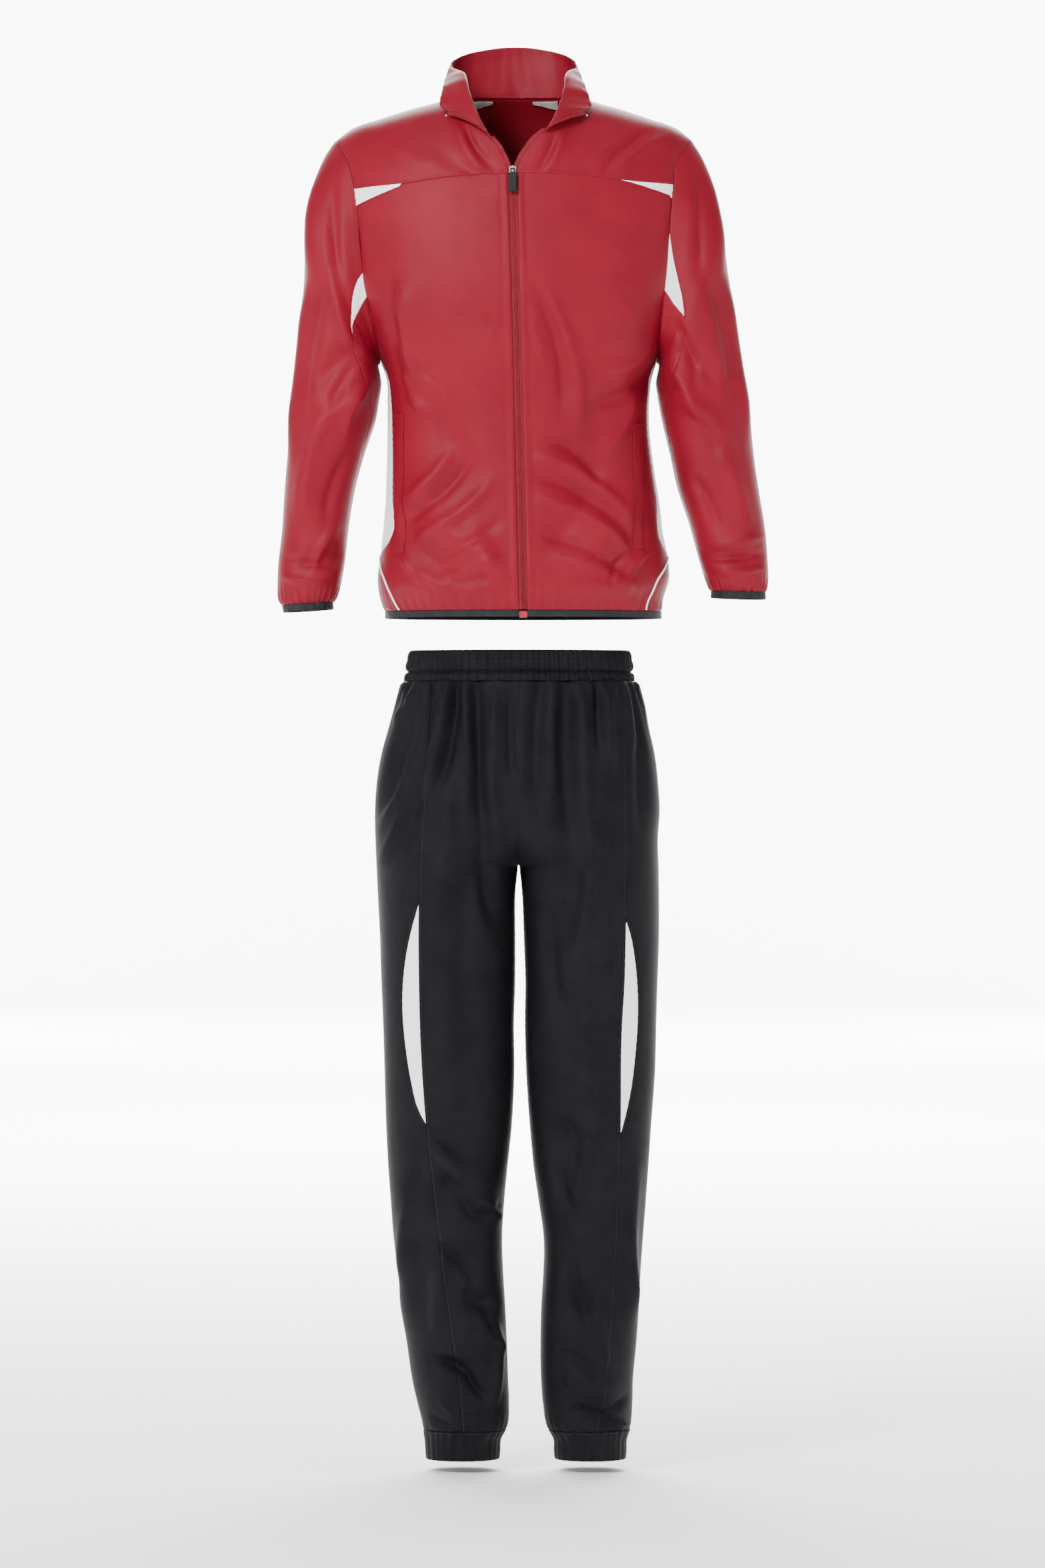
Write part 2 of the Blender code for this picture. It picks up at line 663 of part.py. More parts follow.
COLLAR_WALL = 1.8
FACING_WALL = 1.0
WELT_WALL = 1.2
CUFF_BINDING_WALL = 2.6
HEM_BINDING_WALL = 2.8
ZIP_EDGE_WALL = 1.2
HEM_BAND_WALL = 2.2
BINDING_OUT = 0.6
HEM_BAND_OUT = 0.4
HEM_BAND_GAP = 0.7
HEM_BAND_MIDDLE = -1760
TROUSER_HEM = -1784
CUFF_END_RING = 16
CUFF_SIDES = 18
HEM_BAND_SIDES = 20
HEM_BINDING_COLUMNS = 41
CHEST_TIP_CUT = 0.06
CRESCENT_TIP_CUT = 0.05
PANEL_TIP_CUT = 2.5
PANEL_TIP_HALF = 0.4


def collection():
    if NAME not in bpy.data.collections:
        bpy.context.scene.collection.children.link(bpy.data.collections.new(NAME))
    return bpy.data.collections[NAME]


def paint(piece, colour, rough=0.8, metal=0.0):
    material = bpy.data.materials.new(piece.name)
    material.use_nodes = True
    shader = material.node_tree.nodes["Principled BSDF"]
    shader.inputs["Base Color"].default_value = (*colour, 1)
    shader.inputs["Roughness"].default_value = rough
    shader.inputs["Metallic"].default_value = metal
    piece.data.materials.append(material)


def toward(points, target, distance):
    way = target - points
    length = np.linalg.norm(way, axis=-1, keepdims=True)
    return points + way / np.maximum(length, 1e-6) * distance


def inset(points, gaps):
    """Moves a grid's edge rows in from their seams. Gaps are for bottom, top, first and last."""
    bottom, top, first, last = gaps
    moved = points.copy()
    moved[0] = toward(points[0], points[1], bottom)
    moved[-1] = toward(points[-1], points[-2], top)
    points = moved.copy()
    moved[:, 0] = toward(points[:, 0], points[:, 1], first)
    moved[:, -1] = toward(points[:, -1], points[:, -2], last)
    return moved


PANELS = {}


def on_panel(name, x, z, out):
    """Points on a panel's own faces, seen from in front at x and z, moved towards the viewer."""
    points = PANELS[name]
    rows, columns = points.shape[:2]
    faces = []
    for low in range(0, (rows - 1) * columns, columns):
        for at in range(low, low + columns - 1):
            faces.append((at, at + 1, at + columns + 1, at + columns))
    tree = BVHTree.FromPolygons([tuple(point) for point in points.reshape(-1, 3)], faces)
    x, z = np.broadcast_arrays(np.asarray(x, float), np.asarray(z, float))
    placed = []
    for side_x, height in zip(x.reshape(-1), z.reshape(-1)):
        hit, normal, _, _ = tree.ray_cast(Vector((side_x, -400, height)), Vector((0, 1, 0)))
        if normal.y > 0:
            normal = -normal
        placed.append(hit + normal * out)
    return np.array(placed).reshape(*x.shape, 3)


def sheet(name, points, colour, wall=WALL, ring=False, gaps=None, rough=0.8, metal=0.0):
    """A cloth piece: an open grid of points, rows upwards, given its thickness by Solidify."""
    if gaps is None:
        gaps = [SEAM_GAP / 2] * 4
    if not ring:
        points = inset(points, gaps)
    PANELS[name] = points
    rows, columns = points.shape[:2]
    mesh = bpy.data.meshes.new(name)
    corners = [tuple(point * MM) for point in points.reshape(-1, 3)]
    faces = []
    for row in range(rows - 1):
        for column in range(columns if ring else columns - 1):
            after = (column + 1) % columns
            low, high = row * columns, (row + 1) * columns
            faces.append((low + column, low + after, high + after, high + column))
    mesh.from_pydata(corners, [], faces)
    mesh.shade_smooth()
    piece = bpy.data.objects.new(name, mesh)
    collection().objects.link(piece)
    thick = piece.modifiers.new("wall", "SOLIDIFY")
    thick.thickness = wall * MM
    thick.offset = 0
    paint(piece, colour, rough, metal)
    return piece


def coons(bottom, top, first, last):
    """A grid over four edges given as lists of surface coordinates."""
    bottom, top = np.array(bottom, float), np.array(top, float)
    first, last = np.array(first, float), np.array(last, float)
    u = np.linspace(0, 1, len(bottom))[None, :, None]
    v = np.linspace(0, 1, len(first))[:, None, None]
    across = (1 - u) * first[:, None] + u * last[:, None]
    up = (1 - v) * bottom[None] + v * top[None]
    low = (1 - u) * bottom[0] + u * bottom[-1]
    high = (1 - u) * top[0] + u * top[-1]
    return across + up - (1 - v) * low - v * high


def share_out(points, count, surface):
    """Equal steps in space along a list of surface coordinates, joined by straight runs."""
    points = np.array(points, float)
    fine = np.concatenate([
        np.linspace(points[k], points[k + 1], 24, endpoint=False) for k in range(len(points) - 1)
    ] + [points[-1:]])
    placed = surface(fine[:, 0], fine[:, 1])
    walked = np.concatenate(([0], np.cumsum(np.linalg.norm(np.diff(placed, axis=0), axis=1))))
    at = np.linspace(0, walked[-1], count)
    return np.stack((np.interp(at, walked, fine[:, 0]), np.interp(at, walked, fine[:, 1])), axis=-1)


# Jacket pieces

YOKE_COLUMNS = 9
INSERT_COLUMNS = 3
NECK_FRONT_STEPS = 4
NECK_BACK_STEPS = 4
RIDGE_STEPS = 5
SIDE_NAME = {-1: "left", 1: "right"}


def yoke_seam_edge(side, low):
    """The yoke seam from the zip to the armhole, along the insert's lower or upper edge."""
    seam = YOKE_SEAM[SIDE_NAME[side]]
    start = zip_x(seam(0)) + side * ZIP_HALF
    tip = side * INSERT_TIP[side]
    inner = np.linspace(start, tip, YOKE_COLUMNS - INSERT_COLUMNS + 1)
    turn = CHEST_INSERT_LOW[side] if low else NODES_YOKE[side][0]
    end_angle, end_height = armhole_node(side, turn)
    end = torso_plain(end_angle, end_height)[0]
    outer = np.linspace(tip, end, INSERT_COLUMNS + 1)[1:]
    heights = list(seam(np.abs(inner)))
    part = INSERT_SEAM[SIDE_NAME[side]] if low else seam
    outer_heights = part(np.abs(outer))
    outer_heights[-1] = end_height
    if low:
        heights[-1] -= 0.5
    xs = np.concatenate((inner, outer))
    zs = np.array(heights + list(outer_heights))
    angles = angle_at(xs, zs)
    angles[-1] = end_angle
    return np.stack((angles, zs), axis=-1)


def body_levels_seam(side, column, levels):
    return [(side * float(BODY_SEAM[column](level)), level) for level in levels]


def make_fronts():
    for side in (-1, 1):
        bottom_seam = yoke_seam_edge(side, True)
        outer = body_levels_seam(side, "front_" + SIDE_NAME[side], BODY_LEVELS)
        outer += [tuple(map(float, armhole_node(side, turn))) for turn in NODES_FRONT[side]]
        heights = np.array([height for _, height in outer])
        top = bottom_seam[0][1]
        inner_heights = HEM + (heights - HEM) * (top - HEM) / (heights[-1] - HEM)
        inner = [(float(angle_at(zip_x(z) + side * ZIP_HALF, z)), z) for z in inner_heights]
        hem_angles = np.linspace(inner[0][0], outer[0][0], YOKE_COLUMNS + 1)
        hem = [(angle, HEM) for angle in hem_angles]
        grid = coons(hem, bottom_seam, inner, outer)
        points = torso(grid[..., 0], grid[..., 1])
        sheet("jacket_front_" + SIDE_NAME[side], points, RED)


def make_yokes():
    for side in (-1, 1):
        bottom = yoke_seam_edge(side, False)
        outer = [tuple(map(float, armhole_node(side, turn))) for turn in NODES_YOKE[side]]
        inner = yoke_inner_nodes(side)
        ridge = ridge_nodes(side)
        top = np.concatenate((neck_front_nodes(side), ridge[1:]))
        grid = coons(bottom, top, inner, outer)
        points = torso(grid[..., 0], grid[..., 1])
        sheet("jacket_yoke_" + SIDE_NAME[side], points, RED, gaps=TOP_PANEL_GAPS)


def yoke_inner_nodes(side):
    """The zip edge of the yoke, from the yoke seam up to the collar."""
    edge = [(float(angle_at(x, z)), z) for x, z in FRONT_EDGE[side]]
    inner = share_out(edge, len(NODES_YOKE[side]), torso_plain)
    inner[0] = yoke_seam_edge(side, False)[0]
    return inner


def neck_front_nodes(side):
    """The neckline from the front end of the collar to the side neck."""
    neck = [(float(angle_at(side * x, z)), z) for x, z in NECK_FRONT[side]]
    return share_out(neck, NECK_FRONT_STEPS + 1, torso_plain)


def neck_back_nodes(side):
    """The neckline from the middle of the back to the side neck."""
    reach = NECK_FRONT[side][-1][0] / NECK_BACK[-1][0]
    neck = [(180 - float(angle_at(side * x * reach, z)), z) for x, z in NECK_BACK]
    return share_out(neck, NECK_BACK_STEPS + 1, torso_plain)


def ridge_nodes(side):
    """The shoulder ridge from the side neck to the shoulder tip, as angles of the front."""
    start_x, start_z = NECK_FRONT[side][-1]
    start = float(angle_at(side * start_x, start_z))
    end = float(armhole_node(side, 0)[0])
    angles = start + (end - start) * np.linspace(0, 1, RIDGE_STEPS + 1)
    heights = ridge_height(angles)
    heights[0] = start_z
    heights[-1] = ARMHOLE_TOP
    return np.stack((angles, heights), axis=-1)


def ridge_height(angle):
    """The height of the shoulder ridge at an angle, found by closing in on it."""
    height = np.full(np.shape(angle), -20.0)
    for _ in range(12):
        x = torso_plain(angle, height)[..., 0]
        share = np.abs(x) / np.where(x < 0, SHOULDER_HALF[-1], SHOULDER_HALF[1])
        height = RIDGE["front"](share)
    return height - 0.02


def make_chest_inserts():
    for side in (-1, 1):
        low = yoke_seam_edge(side, True)[-INSERT_COLUMNS - 1:]
        high = yoke_seam_edge(side, False)[-INSERT_COLUMNS - 1:]
        grid = coons(low, high, [low[0], high[0]], [low[-1], high[-1]])
        points = torso(grid[..., 0], grid[..., 1])
        name = "chest_insert_" + SIDE_NAME[side]
        points[:, 0] = points[:, 0] + (points[:, 1] - points[:, 0]) * CHEST_TIP_CUT
        sheet(name, points, WHITE, gaps=CHEST_INSERT_GAPS)


def make_side_panels():
    levels = [level for level in BODY_LEVELS if level > PANEL_TIP]
    for side in (-1, 1):
        front = body_levels_seam(side, "front_" + SIDE_NAME[side], levels)
        back = body_levels_seam(side, "back_" + SIDE_NAME[side], levels)
        nodes = [tuple(map(float, armhole_node(side, turn))) for turn in NODES_SIDE]
        tip = side * PANEL_TIP_ANGLE[side]
        low = PANEL_TIP + PANEL_TIP_CUT
        front = [(tip - side * PANEL_TIP_HALF, low)] + front + [nodes[0]]
        back = [(tip + side * PANEL_TIP_HALF, low)] + back + [nodes[-1]]
        bottom = [front[0], (tip, low), back[0]]
        grid = coons(bottom, nodes, front, back)
        points = torso(grid[..., 0], grid[..., 1])
        sheet("side_panel_" + SIDE_NAME[side], points, WHITE, gaps=SIDE_PANEL_GAPS)


def make_back():
    edges = {}
    for side in (-1, 1):
        seam = body_levels_seam(side, "back_" + SIDE_NAME[side], BODY_LEVELS)
        nodes = [tuple(map(float, armhole_node(side, turn))) for turn in NODES_BACK]
        edges[side] = [(angle % 360, height) for angle, height in seam + nodes]
    right, left = edges[1], edges[-1]
    halves = {}
    for side in (-1, 1):
        ridge = ridge_nodes(side)
        ridge[:, 0] = 180 - ridge[:, 0]
        halves[side] = np.concatenate((neck_back_nodes(side), ridge[1:]))
    top = np.concatenate((halves[1][::-1], halves[-1][1:]))
    hem = [(angle, HEM) for angle in np.linspace(right[0][0], left[0][0], len(top))]
    grid = coons(hem, top, right, left)
    points = torso(grid[..., 0], grid[..., 1])
    sheet("jacket_back", points, RED, gaps=TOP_PANEL_GAPS)


def make_sleeves():
    for side in (-1, 1):
        name = SIDE_NAME[side]
        edges = INSERT_EDGES[side]
        start = INSERT_NODES[side][1]
        lower = [turn for turn in sorted(set(NODES_FRONT[side])) if turn >= start]
        around = lower + list(NODES_SIDE[1:]) + list(NODES_BACK[1:-1])
        over = [360 + turn for turn in reversed(NODES_YOKE[side])]
        over += [360 + CHEST_INSERT_LOW[side]]
        last = INSERT_NODES[side][0]
        over += [360 + turn for turn in sorted(NODES_FRONT[side]) if CHEST_INSERT_LOW[side] < turn <= last]
        first_turns = np.array(around + over, float)
        shares = (first_turns - first_turns[0]) / (first_turns[-1] - first_turns[0])
        even = np.linspace(0, 1, len(shares))
        rings = np.array(SLEEVE_RINGS, float)
        rows = []
        for ring in rings:
            low = float(edges["lower"](ring))
            high = 360 + float(edges["upper"](ring))
            settled = step(ring / 6)
            mix = shares * (1 - settled) + even * settled
            rows.append(low + (high - low) * mix)
        turns = np.array(rows)
        ring_grid = np.repeat(rings[:, None], turns.shape[1], axis=1)
        points = sleeve(side, ring_grid, turns)
        sheet("sleeve_" + name, points[::-1], RED, gaps=SLEEVE_GAPS)
        insert_rings = rings[rings <= INSERT_LAST[side] + 0.01]
        grid = []
        for ring in insert_rings:
            high, low = float(edges["upper"](ring)), float(edges["lower"](ring))
            between = [turn for turn in sorted(NODES_FRONT[side]) if last < turn < start]
            if ring == 0 and between:
                grid.append([high] + between + [low])
            else:
                grid.append(np.linspace(high, low, len(between) + 2))
        turns = np.array(grid)
        ring_grid = np.repeat(insert_rings[:, None], turns.shape[1], axis=1)
        points = sleeve(side, ring_grid, turns)
        sheet("underarm_insert_" + name, points[::-1], WHITE, gaps=SLEEVE_GAPS)
        turns = np.linspace(0, 360, CUFF_SIDES, endpoint=False)
        rings = np.array((CUFF_RING, CUFF_END_RING))
        grid = sleeve(side, *np.meshgrid(rings, turns, indexing="ij"), out=BINDING_OUT)
        sheet("cuff_binding_" + name, grid[::-1], TRIM_BLACK, wall=CUFF_BINDING_WALL, ring=True)


def neck_line(side):
    """The neckline's nodes in space, with how far each lies from the back's middle to the front."""
    nodes = np.concatenate((neck_back_nodes(side), neck_front_nodes(side)[::-1][1:]))
    placed = torso_plain(nodes[:, 0], nodes[:, 1])
    normals = torso_normal(nodes[:, 0], nodes[:, 1] - 1.5)
    length = np.concatenate(([0], np.cumsum(np.linalg.norm(np.diff(placed, axis=0), axis=1))))
    share = length / length[-1]
    lift = COLLAR_SEAM_LIFT * step((share - 0.55) / 0.25)
    return share, placed + normals * lift[:, None]


def neck_base(share):
    """The neckline under the collar: share 0 at the middle of the back, 1 or -1 at the front."""
    lines = {side: neck_line(side) for side in (-1, 1)}
    points = []
    for value in share:
        at, placed = lines[1 if value >= 0 else -1]
        points.append([np.interp(abs(value), at, placed[:, k]) for k in range(3)])
    return np.array(points)


def collar_shares():
    """The collar's columns: the neckline's nodes and a place half way between each two."""
    shares = {}
    for side in (-1, 1):
        at, _ = neck_line(side)
        half_way = (at[1:] + at[:-1]) / 2
        shares[side] = np.sort(np.concatenate((at, half_way)))
    return np.concatenate((-shares[-1][::-1], shares[1][1:]))


COLLAR_ROWS = 5
COLLAR_MIDDLE = -3
COLLAR_SEAM_LIFT = 2.4


def collar(share, up):
    """A point of the collar, from its seam at 0 up to its rim at 1."""
    share, up = np.broadcast_arrays(np.asarray(share, float), np.asarray(up, float))
    flat = share.reshape(-1)
    side = np.where(flat < 0, -1, 1)
    away = np.abs(flat)
    base = neck_base(flat) + (0, 0, COLLAR_LIFT)
    shift = np.where(flat < 0, 0, COLLAR_RISE["top_right"](away))
    roll = np.stack((COLLAR_MIDDLE + side * COLLAR_RISE["roll_x"](away),
                     COLLAR_RISE["roll_y"](away), COLLAR_RISE["roll_z"](away)), axis=-1)
    top = np.stack((COLLAR_MIDDLE + side * (COLLAR_RISE["top_x"](away) + shift),
                    COLLAR_RISE["top_y"](away), COLLAR_RISE["top_z"](away)), axis=-1)
    t = up.reshape(-1, 1)
    points = base * (1 - t) ** 2 + roll * 2 * t * (1 - t) + top * t * t
    return points.reshape(*share.shape, 3)


def make_collar():
    ups = np.linspace(0, 1, COLLAR_ROWS + 1)
    grid = collar(*np.meshgrid(collar_shares(), ups))
    sheet("collar", grid, RED, wall=COLLAR_WALL, gaps=COLLAR_GAPS)


FACING_HALF = 66
FACING_DEPTH = 60
LAYER = 2.2
FACING_LAYER = 2.8
TAPE_LAYER = 5.0
FACING_COLUMNS = 13
FACING_ROWS = 5
FACING_BELOW_NECK = 2.5
FACING_END_RISE = 2
FACING_ROUND = 2.4
TAPE_ENDS = {-1: (34, 62), 1: (20, 54)}
TAPE_WIDTHS = (3, 11)
TAPE_COLUMNS = 6
TAPE_BELOW_NECK = 3


def make_neck_inside():
    neckline = smooth([x for x, _ in NECK_BACK], [z for _, z in NECK_BACK])
    xs = np.linspace(-FACING_HALF, FACING_HALF, FACING_COLUMNS)
    top = neckline(np.abs(xs)) - FACING_BELOW_NECK
    low = -FACING_DEPTH + (FACING_DEPTH + FACING_END_RISE) * (np.abs(xs) / FACING_HALF) ** FACING_ROUND
    heights = low + (top - low) * np.linspace(0, 1, FACING_ROWS)[:, None]
    points = on_panel("jacket_back", xs[None, :] * np.ones_like(heights), heights, FACING_LAYER)
    sheet("back_neck_facing", points, DARK_RED, wall=FACING_WALL, gaps=LAYER_GAPS)
    for side, (near, far) in TAPE_ENDS.items():
        xs = np.linspace(near, far, TAPE_COLUMNS)
        top = neckline(xs) - TAPE_BELOW_NECK
        heights = np.stack((top - np.linspace(*TAPE_WIDTHS, TAPE_COLUMNS), top))
        points = on_panel("jacket_back", side * xs[None, :] * np.ones_like(heights), heights, TAPE_LAYER)
        sheet("neck_tape_" + SIDE_NAME[side], points, GREY_TAPE, wall=FACING_WALL, gaps=LAYER_GAPS)


def make_hem_binding():
    heights = np.array((HEM - HEM_BINDING, HEM))
    start = float(angle_at(zip_x(HEM) + ZIP_HALF, HEM))
    end = float(angle_at(zip_x(HEM) - ZIP_HALF, HEM)) + 360
    angles = np.linspace(start, end, HEM_BINDING_COLUMNS)
    points = torso(*np.meshgrid(angles, heights), out=BINDING_OUT)
    sheet("hem_binding", points, TRIM_BLACK, wall=HEM_BINDING_WALL, gaps=HEM_BINDING_GAPS)


def tube(name, points, radius, colour):
    curve = bpy.data.curves.new(name, "CURVE")
    curve.dimensions = "3D"
    curve.bevel_depth = radius * MM
    curve.bevel_resolution = 1
    curve.use_fill_caps = True
    line = curve.splines.new("POLY")
    line.points.add(len(points) - 1)
    for place, point in zip(line.points, points):
        place.co = (*(point * MM), 1)
    piece = bpy.data.objects.new(name, curve)
    collection().objects.link(piece)
    paint(piece, colour)
    return piece


PIPING_RADIUS = 1.2
PIPING_GAP = 0.6
PIPING_ABOVE_HEM = 2
PIPING_BELOW_TIP = 3


def make_piping():
    for side in (-1, 1):
        heights = np.array([level for level in BODY_LEVELS if level < PANEL_TIP + 1], float)
        heights[0] += PIPING_ABOVE_HEM
        heights[-1] -= PIPING_BELOW_TIP
        angles = side * BODY_SEAM["back_" + SIDE_NAME[side]](heights)
        points = torso(angles, heights, out=WALL / 2 + PIPING_RADIUS + PIPING_GAP)
        tube("piping_" + SIDE_NAME[side], points, PIPING_RADIUS, WHITE)


POCKET_TOP = {-1: -415, 1: -428}
POCKET_LOW = {-1: -598, 1: -592}
POCKET_X = {-1: (-161, -149), 1: (150, 162)}


def make_pocket_welts():
    for side in (-1, 1):
        heights = np.linspace(POCKET_LOW[side], POCKET_TOP[side], 10)
        xs = np.linspace(*POCKET_X[side], 3)
        grid_x, grid_z = np.meshgrid(xs, heights)
        points = on_panel("jacket_front_" + SIDE_NAME[side], grid_x, grid_z, LAYER)
        sheet("pocket_welt_" + SIDE_NAME[side], points, RED, wall=WELT_WALL, gaps=NO_GAPS)


ZIP_CHAIN_WALL = 1.8
ZIP_EDGE_WIDTH = 4.8
ZIP_EDGE_GAP = 1.2
STOP_SIZE = (2.4, 2.0, 2.6)
STOP_BEYOND = 2.1


def make_zip():
    heights = np.linspace(HEM + 1, ZIP_TOP - 7, 15)
    across = np.array((-ZIP_HALF, 0, ZIP_HALF))
    grid_a, grid_z = np.meshgrid(across, heights)
    angles = angle_at(zip_x(grid_z) + grid_a, grid_z)
    points = torso(angles, grid_z)
    sheet("zip_chain", points, ZIP_RED, wall=ZIP_CHAIN_WALL, gaps=ZIP_CHAIN_GAPS)
    for side in (-1, 1):
        line = yoke_inner_nodes(side)[:-1]
        line[0, 1] += 1.5
        body_edge = torso_plain(line[:, 0], line[:, 1])
        ups = np.linspace(0, 1, COLLAR_ROWS + 1)
        collar_edge = collar(np.full(len(ups), side * 1.0), ups)
        inner_ups = np.minimum(ups, 0.8)
        inside = collar_edge - collar(np.full(len(ups), side * 1.0), inner_ups)
        inside = inside + collar(np.full(len(ups), side * 0.94), inner_ups)
        outer = np.concatenate((body_edge, collar_edge))
        beside = torso_plain(line[:, 0] - side * 3, line[:, 1])
        away_body = toward(np.zeros_like(beside), beside - body_edge, 1)
        away_collar = toward(np.zeros_like(inside), collar_edge - inside, 1)
        away = np.concatenate((away_body, away_collar))
        along = np.gradient(outer, axis=0)
        along = along / np.linalg.norm(along, axis=1, keepdims=True)
        away = away - along * (away * along).sum(axis=1, keepdims=True)
        away = away / np.linalg.norm(away, axis=1, keepdims=True)
        grid = np.stack((outer + away * ZIP_EDGE_GAP, outer + away * ZIP_EDGE_WIDTH), axis=1)
        sheet("zip_edge_" + SIDE_NAME[side], grid, ZIP_RED, wall=ZIP_EDGE_WALL, gaps=NO_GAPS)
        stop = outer[-1] + away[-1] * (ZIP_EDGE_WIDTH + STOP_BEYOND)
        block("zip_top_stop_" + SIDE_NAME[side], stop, STOP_SIZE, STEEL, 0.5, 0.3, 1.0)


def block(name, centre, size, colour, edge, rough=0.8, metal=0.0, tilt=0.0):
    bpy.ops.mesh.primitive_cube_add(size=1)
    piece = bpy.context.object
    piece.name = name
    piece.data.name = name
    for vertex in piece.data.vertices:
        vertex.co = [axis * length * MM for axis, length in zip(vertex.co, size)]
    round_off = piece.modifiers.new("edge", "BEVEL")
    round_off.width = edge * MM
    round_off.segments = 2
    piece.location = [value * MM for value in centre]
    piece.rotation_euler = (math.radians(tilt), 0, 0)
    for owner in piece.users_collection:
        owner.objects.unlink(piece)
    collection().objects.link(piece)
    paint(piece, colour, rough, metal)
    return piece


BOX_SIZE = (10.6, 3.4, 9.0)
BOX_HEIGHT = -678.5


def make_retaining_box():
    x = float(zip_x(HEM))
    y = torso_plain(angle_at(x, BOX_HEIGHT), np.array(float(BOX_HEIGHT)))[1]
    block("zip_box", (x, y, BOX_HEIGHT), BOX_SIZE, BOX_RED, 1.0, 0.4)


SLIDER_SIZE = (9.5, 2.4, 12.0)
BRIDGE_SIZE = (2.2, 5.0, 8.0)
PIN_RADIUS = 0.9
PIN_HOLE = 1.35
PIN_OUT = 6.4
PIN_UP = 1.0
TAB_SIZE = (11.0, 2.8, 26.0)
ARM_SIZE = (1.4, 2.0, 8.0)
SLIDER_HEIGHT = -103


def join(pieces, name):
    """One solid from several that overlap, by exact unions."""
    base = pieces[0]
    for other in pieces[1:]:
        union = base.modifiers.new("join", "BOOLEAN")
        union.operation = "UNION"
        union.object = other
        other.hide_render = True
        other.display_type = "WIRE"
    base.name = name
    return base


def raw_box(size, centre):
    mesh = bmesh.new()
    bmesh.ops.create_cube(mesh, size=1)
    for vertex in mesh.verts:
        vertex.co = [axis * length + middle for axis, length, middle in zip(vertex.co, size, centre)]
    return mesh


def raw_pin(radius, length, centre):
    mesh = bmesh.new()
    bmesh.ops.create_cone(mesh, cap_ends=True, segments=16, radius1=radius, radius2=radius, depth=length)
    turn = Matrix.Rotation(math.radians(90), 4, "Y")
    bmesh.ops.transform(mesh, matrix=turn, verts=mesh.verts)
    bmesh.ops.translate(mesh, vec=centre, verts=mesh.verts)
    return mesh


def place(mesh, name, owner):
    data = bpy.data.meshes.new(name)
    for vertex in mesh.verts:
        vertex.co = vertex.co * MM
    mesh.to_mesh(data)
    mesh.free()
    piece = bpy.data.objects.new(name, data)
    owner.objects.link(piece)
    return piece


def make_slider():
    """The slider, and the pull tab whose pin turns in the slider's bridge."""
    cutters = bpy.data.collections.new("cutters")
    bpy.context.scene.collection.children.link(cutters)
    x = float(zip_x(SLIDER_HEIGHT))
    levels = np.array((SLIDER_HEIGHT - 16.0, SLIDER_HEIGHT))
    low, here = torso_plain(angle_at(np.full(2, x), levels), levels)
    slope = math.atan2(here[1] - low[1], here[2] - low[2])
    seat = bpy.data.objects.new("slider_seat", None)
    collection().objects.link(seat)
    seat.location = [value * MM for value in here]
    seat.rotation_euler = (-slope, 0, 0)
    face = ZIP_CHAIN_WALL / 2 + 0.35
    pin_y = -(face + PIN_OUT)
    body = place(raw_box(SLIDER_SIZE, (0, -(face + SLIDER_SIZE[1] / 2), 0)), "zip_slider", collection())
    bridge_y = -(face + SLIDER_SIZE[1] + BRIDGE_SIZE[1] / 2 - 0.3)
    bridge = place(raw_box(BRIDGE_SIZE, (0, bridge_y, PIN_UP)), "bridge", cutters)
    hole = place(raw_pin(PIN_HOLE, 6, (0, pin_y, PIN_UP)), "bridge_hole", cutters)
    soften = body.modifiers.new("edge", "BEVEL")
    soften.width = 0.7 * MM
    soften.segments = 1
    join([body, bridge], "zip_slider")
    drill = body.modifiers.new("hole", "BOOLEAN")
    drill.operation = "DIFFERENCE"
    drill.object = hole
    paint(body, STEEL, 0.3, 1.0)
    arm_x = BRIDGE_SIZE[0] / 2 + 0.4 + ARM_SIZE[0] / 2
    pin = place(raw_pin(PIN_RADIUS, 2 * arm_x, (0, 0, 0)), "zip_pull_tab", collection())
    arms = [place(raw_box(ARM_SIZE, (side * arm_x, 0, -3.0)), "arm", cutters) for side in (-1, 1)]
    tab_middle = (0, 0, -5.4 - TAB_SIZE[2] / 2)
    tab = place(raw_box(TAB_SIZE, tab_middle), "tab", cutters)
    edge = tab.modifiers.new("edge", "BEVEL")
    edge.width = 1.2 * MM
    edge.segments = 2
    join([pin, *arms, tab], "zip_pull_tab")
    paint(pin, RUBBER, 0.6)
    pin.location = (0, pin_y * MM, PIN_UP * MM)
    for piece in (body, bridge, hole, pin):
        piece.parent = seat
    for piece in (*arms, tab):
        piece.parent = pin
    hole.hide_render = True
    hole.display_type = "WIRE"


# Trousers pieces

def leg_levels(side):
    low, high = CRESCENT_TIPS[side]
    above = [-1032, -1008, -988, -955, -915, -870, -825, -790, LEG_TOP]
    between = list(np.linspace(low, high, 7))
    below = [HEM_BAND_TOP, -1722, -1690, -1645, -1590, -1530, -1470, -1405]
    return np.array(below + between + above)


LEG_COLUMNS = {"front": 8, "side": 4, "back": 7}


def leg_edges(side, levels):
    """The angles of a leg's seams at each height."""
    name = SIDE_NAME[side]
    seam = leg_angle(side, LEG_SEAM[name](levels), levels)
    low, high = CRESCENT_TIPS[side]
    held = (levels >= low - 0.01) & (levels <= high + 0.01)
    edge = leg_angle(side, CRESCENT[side]["edge"](levels), levels)
    outer = np.where(held, edge, seam)
    cut = np.where(levels > CROTCH, seat_cut(levels), 0)
    return cut, seam, outer, held


def strip(first, last, columns):
    share = np.linspace(0, 1, columns + 1)[None, :]
    return first[:, None] * (1 - share) + last[:, None] * share


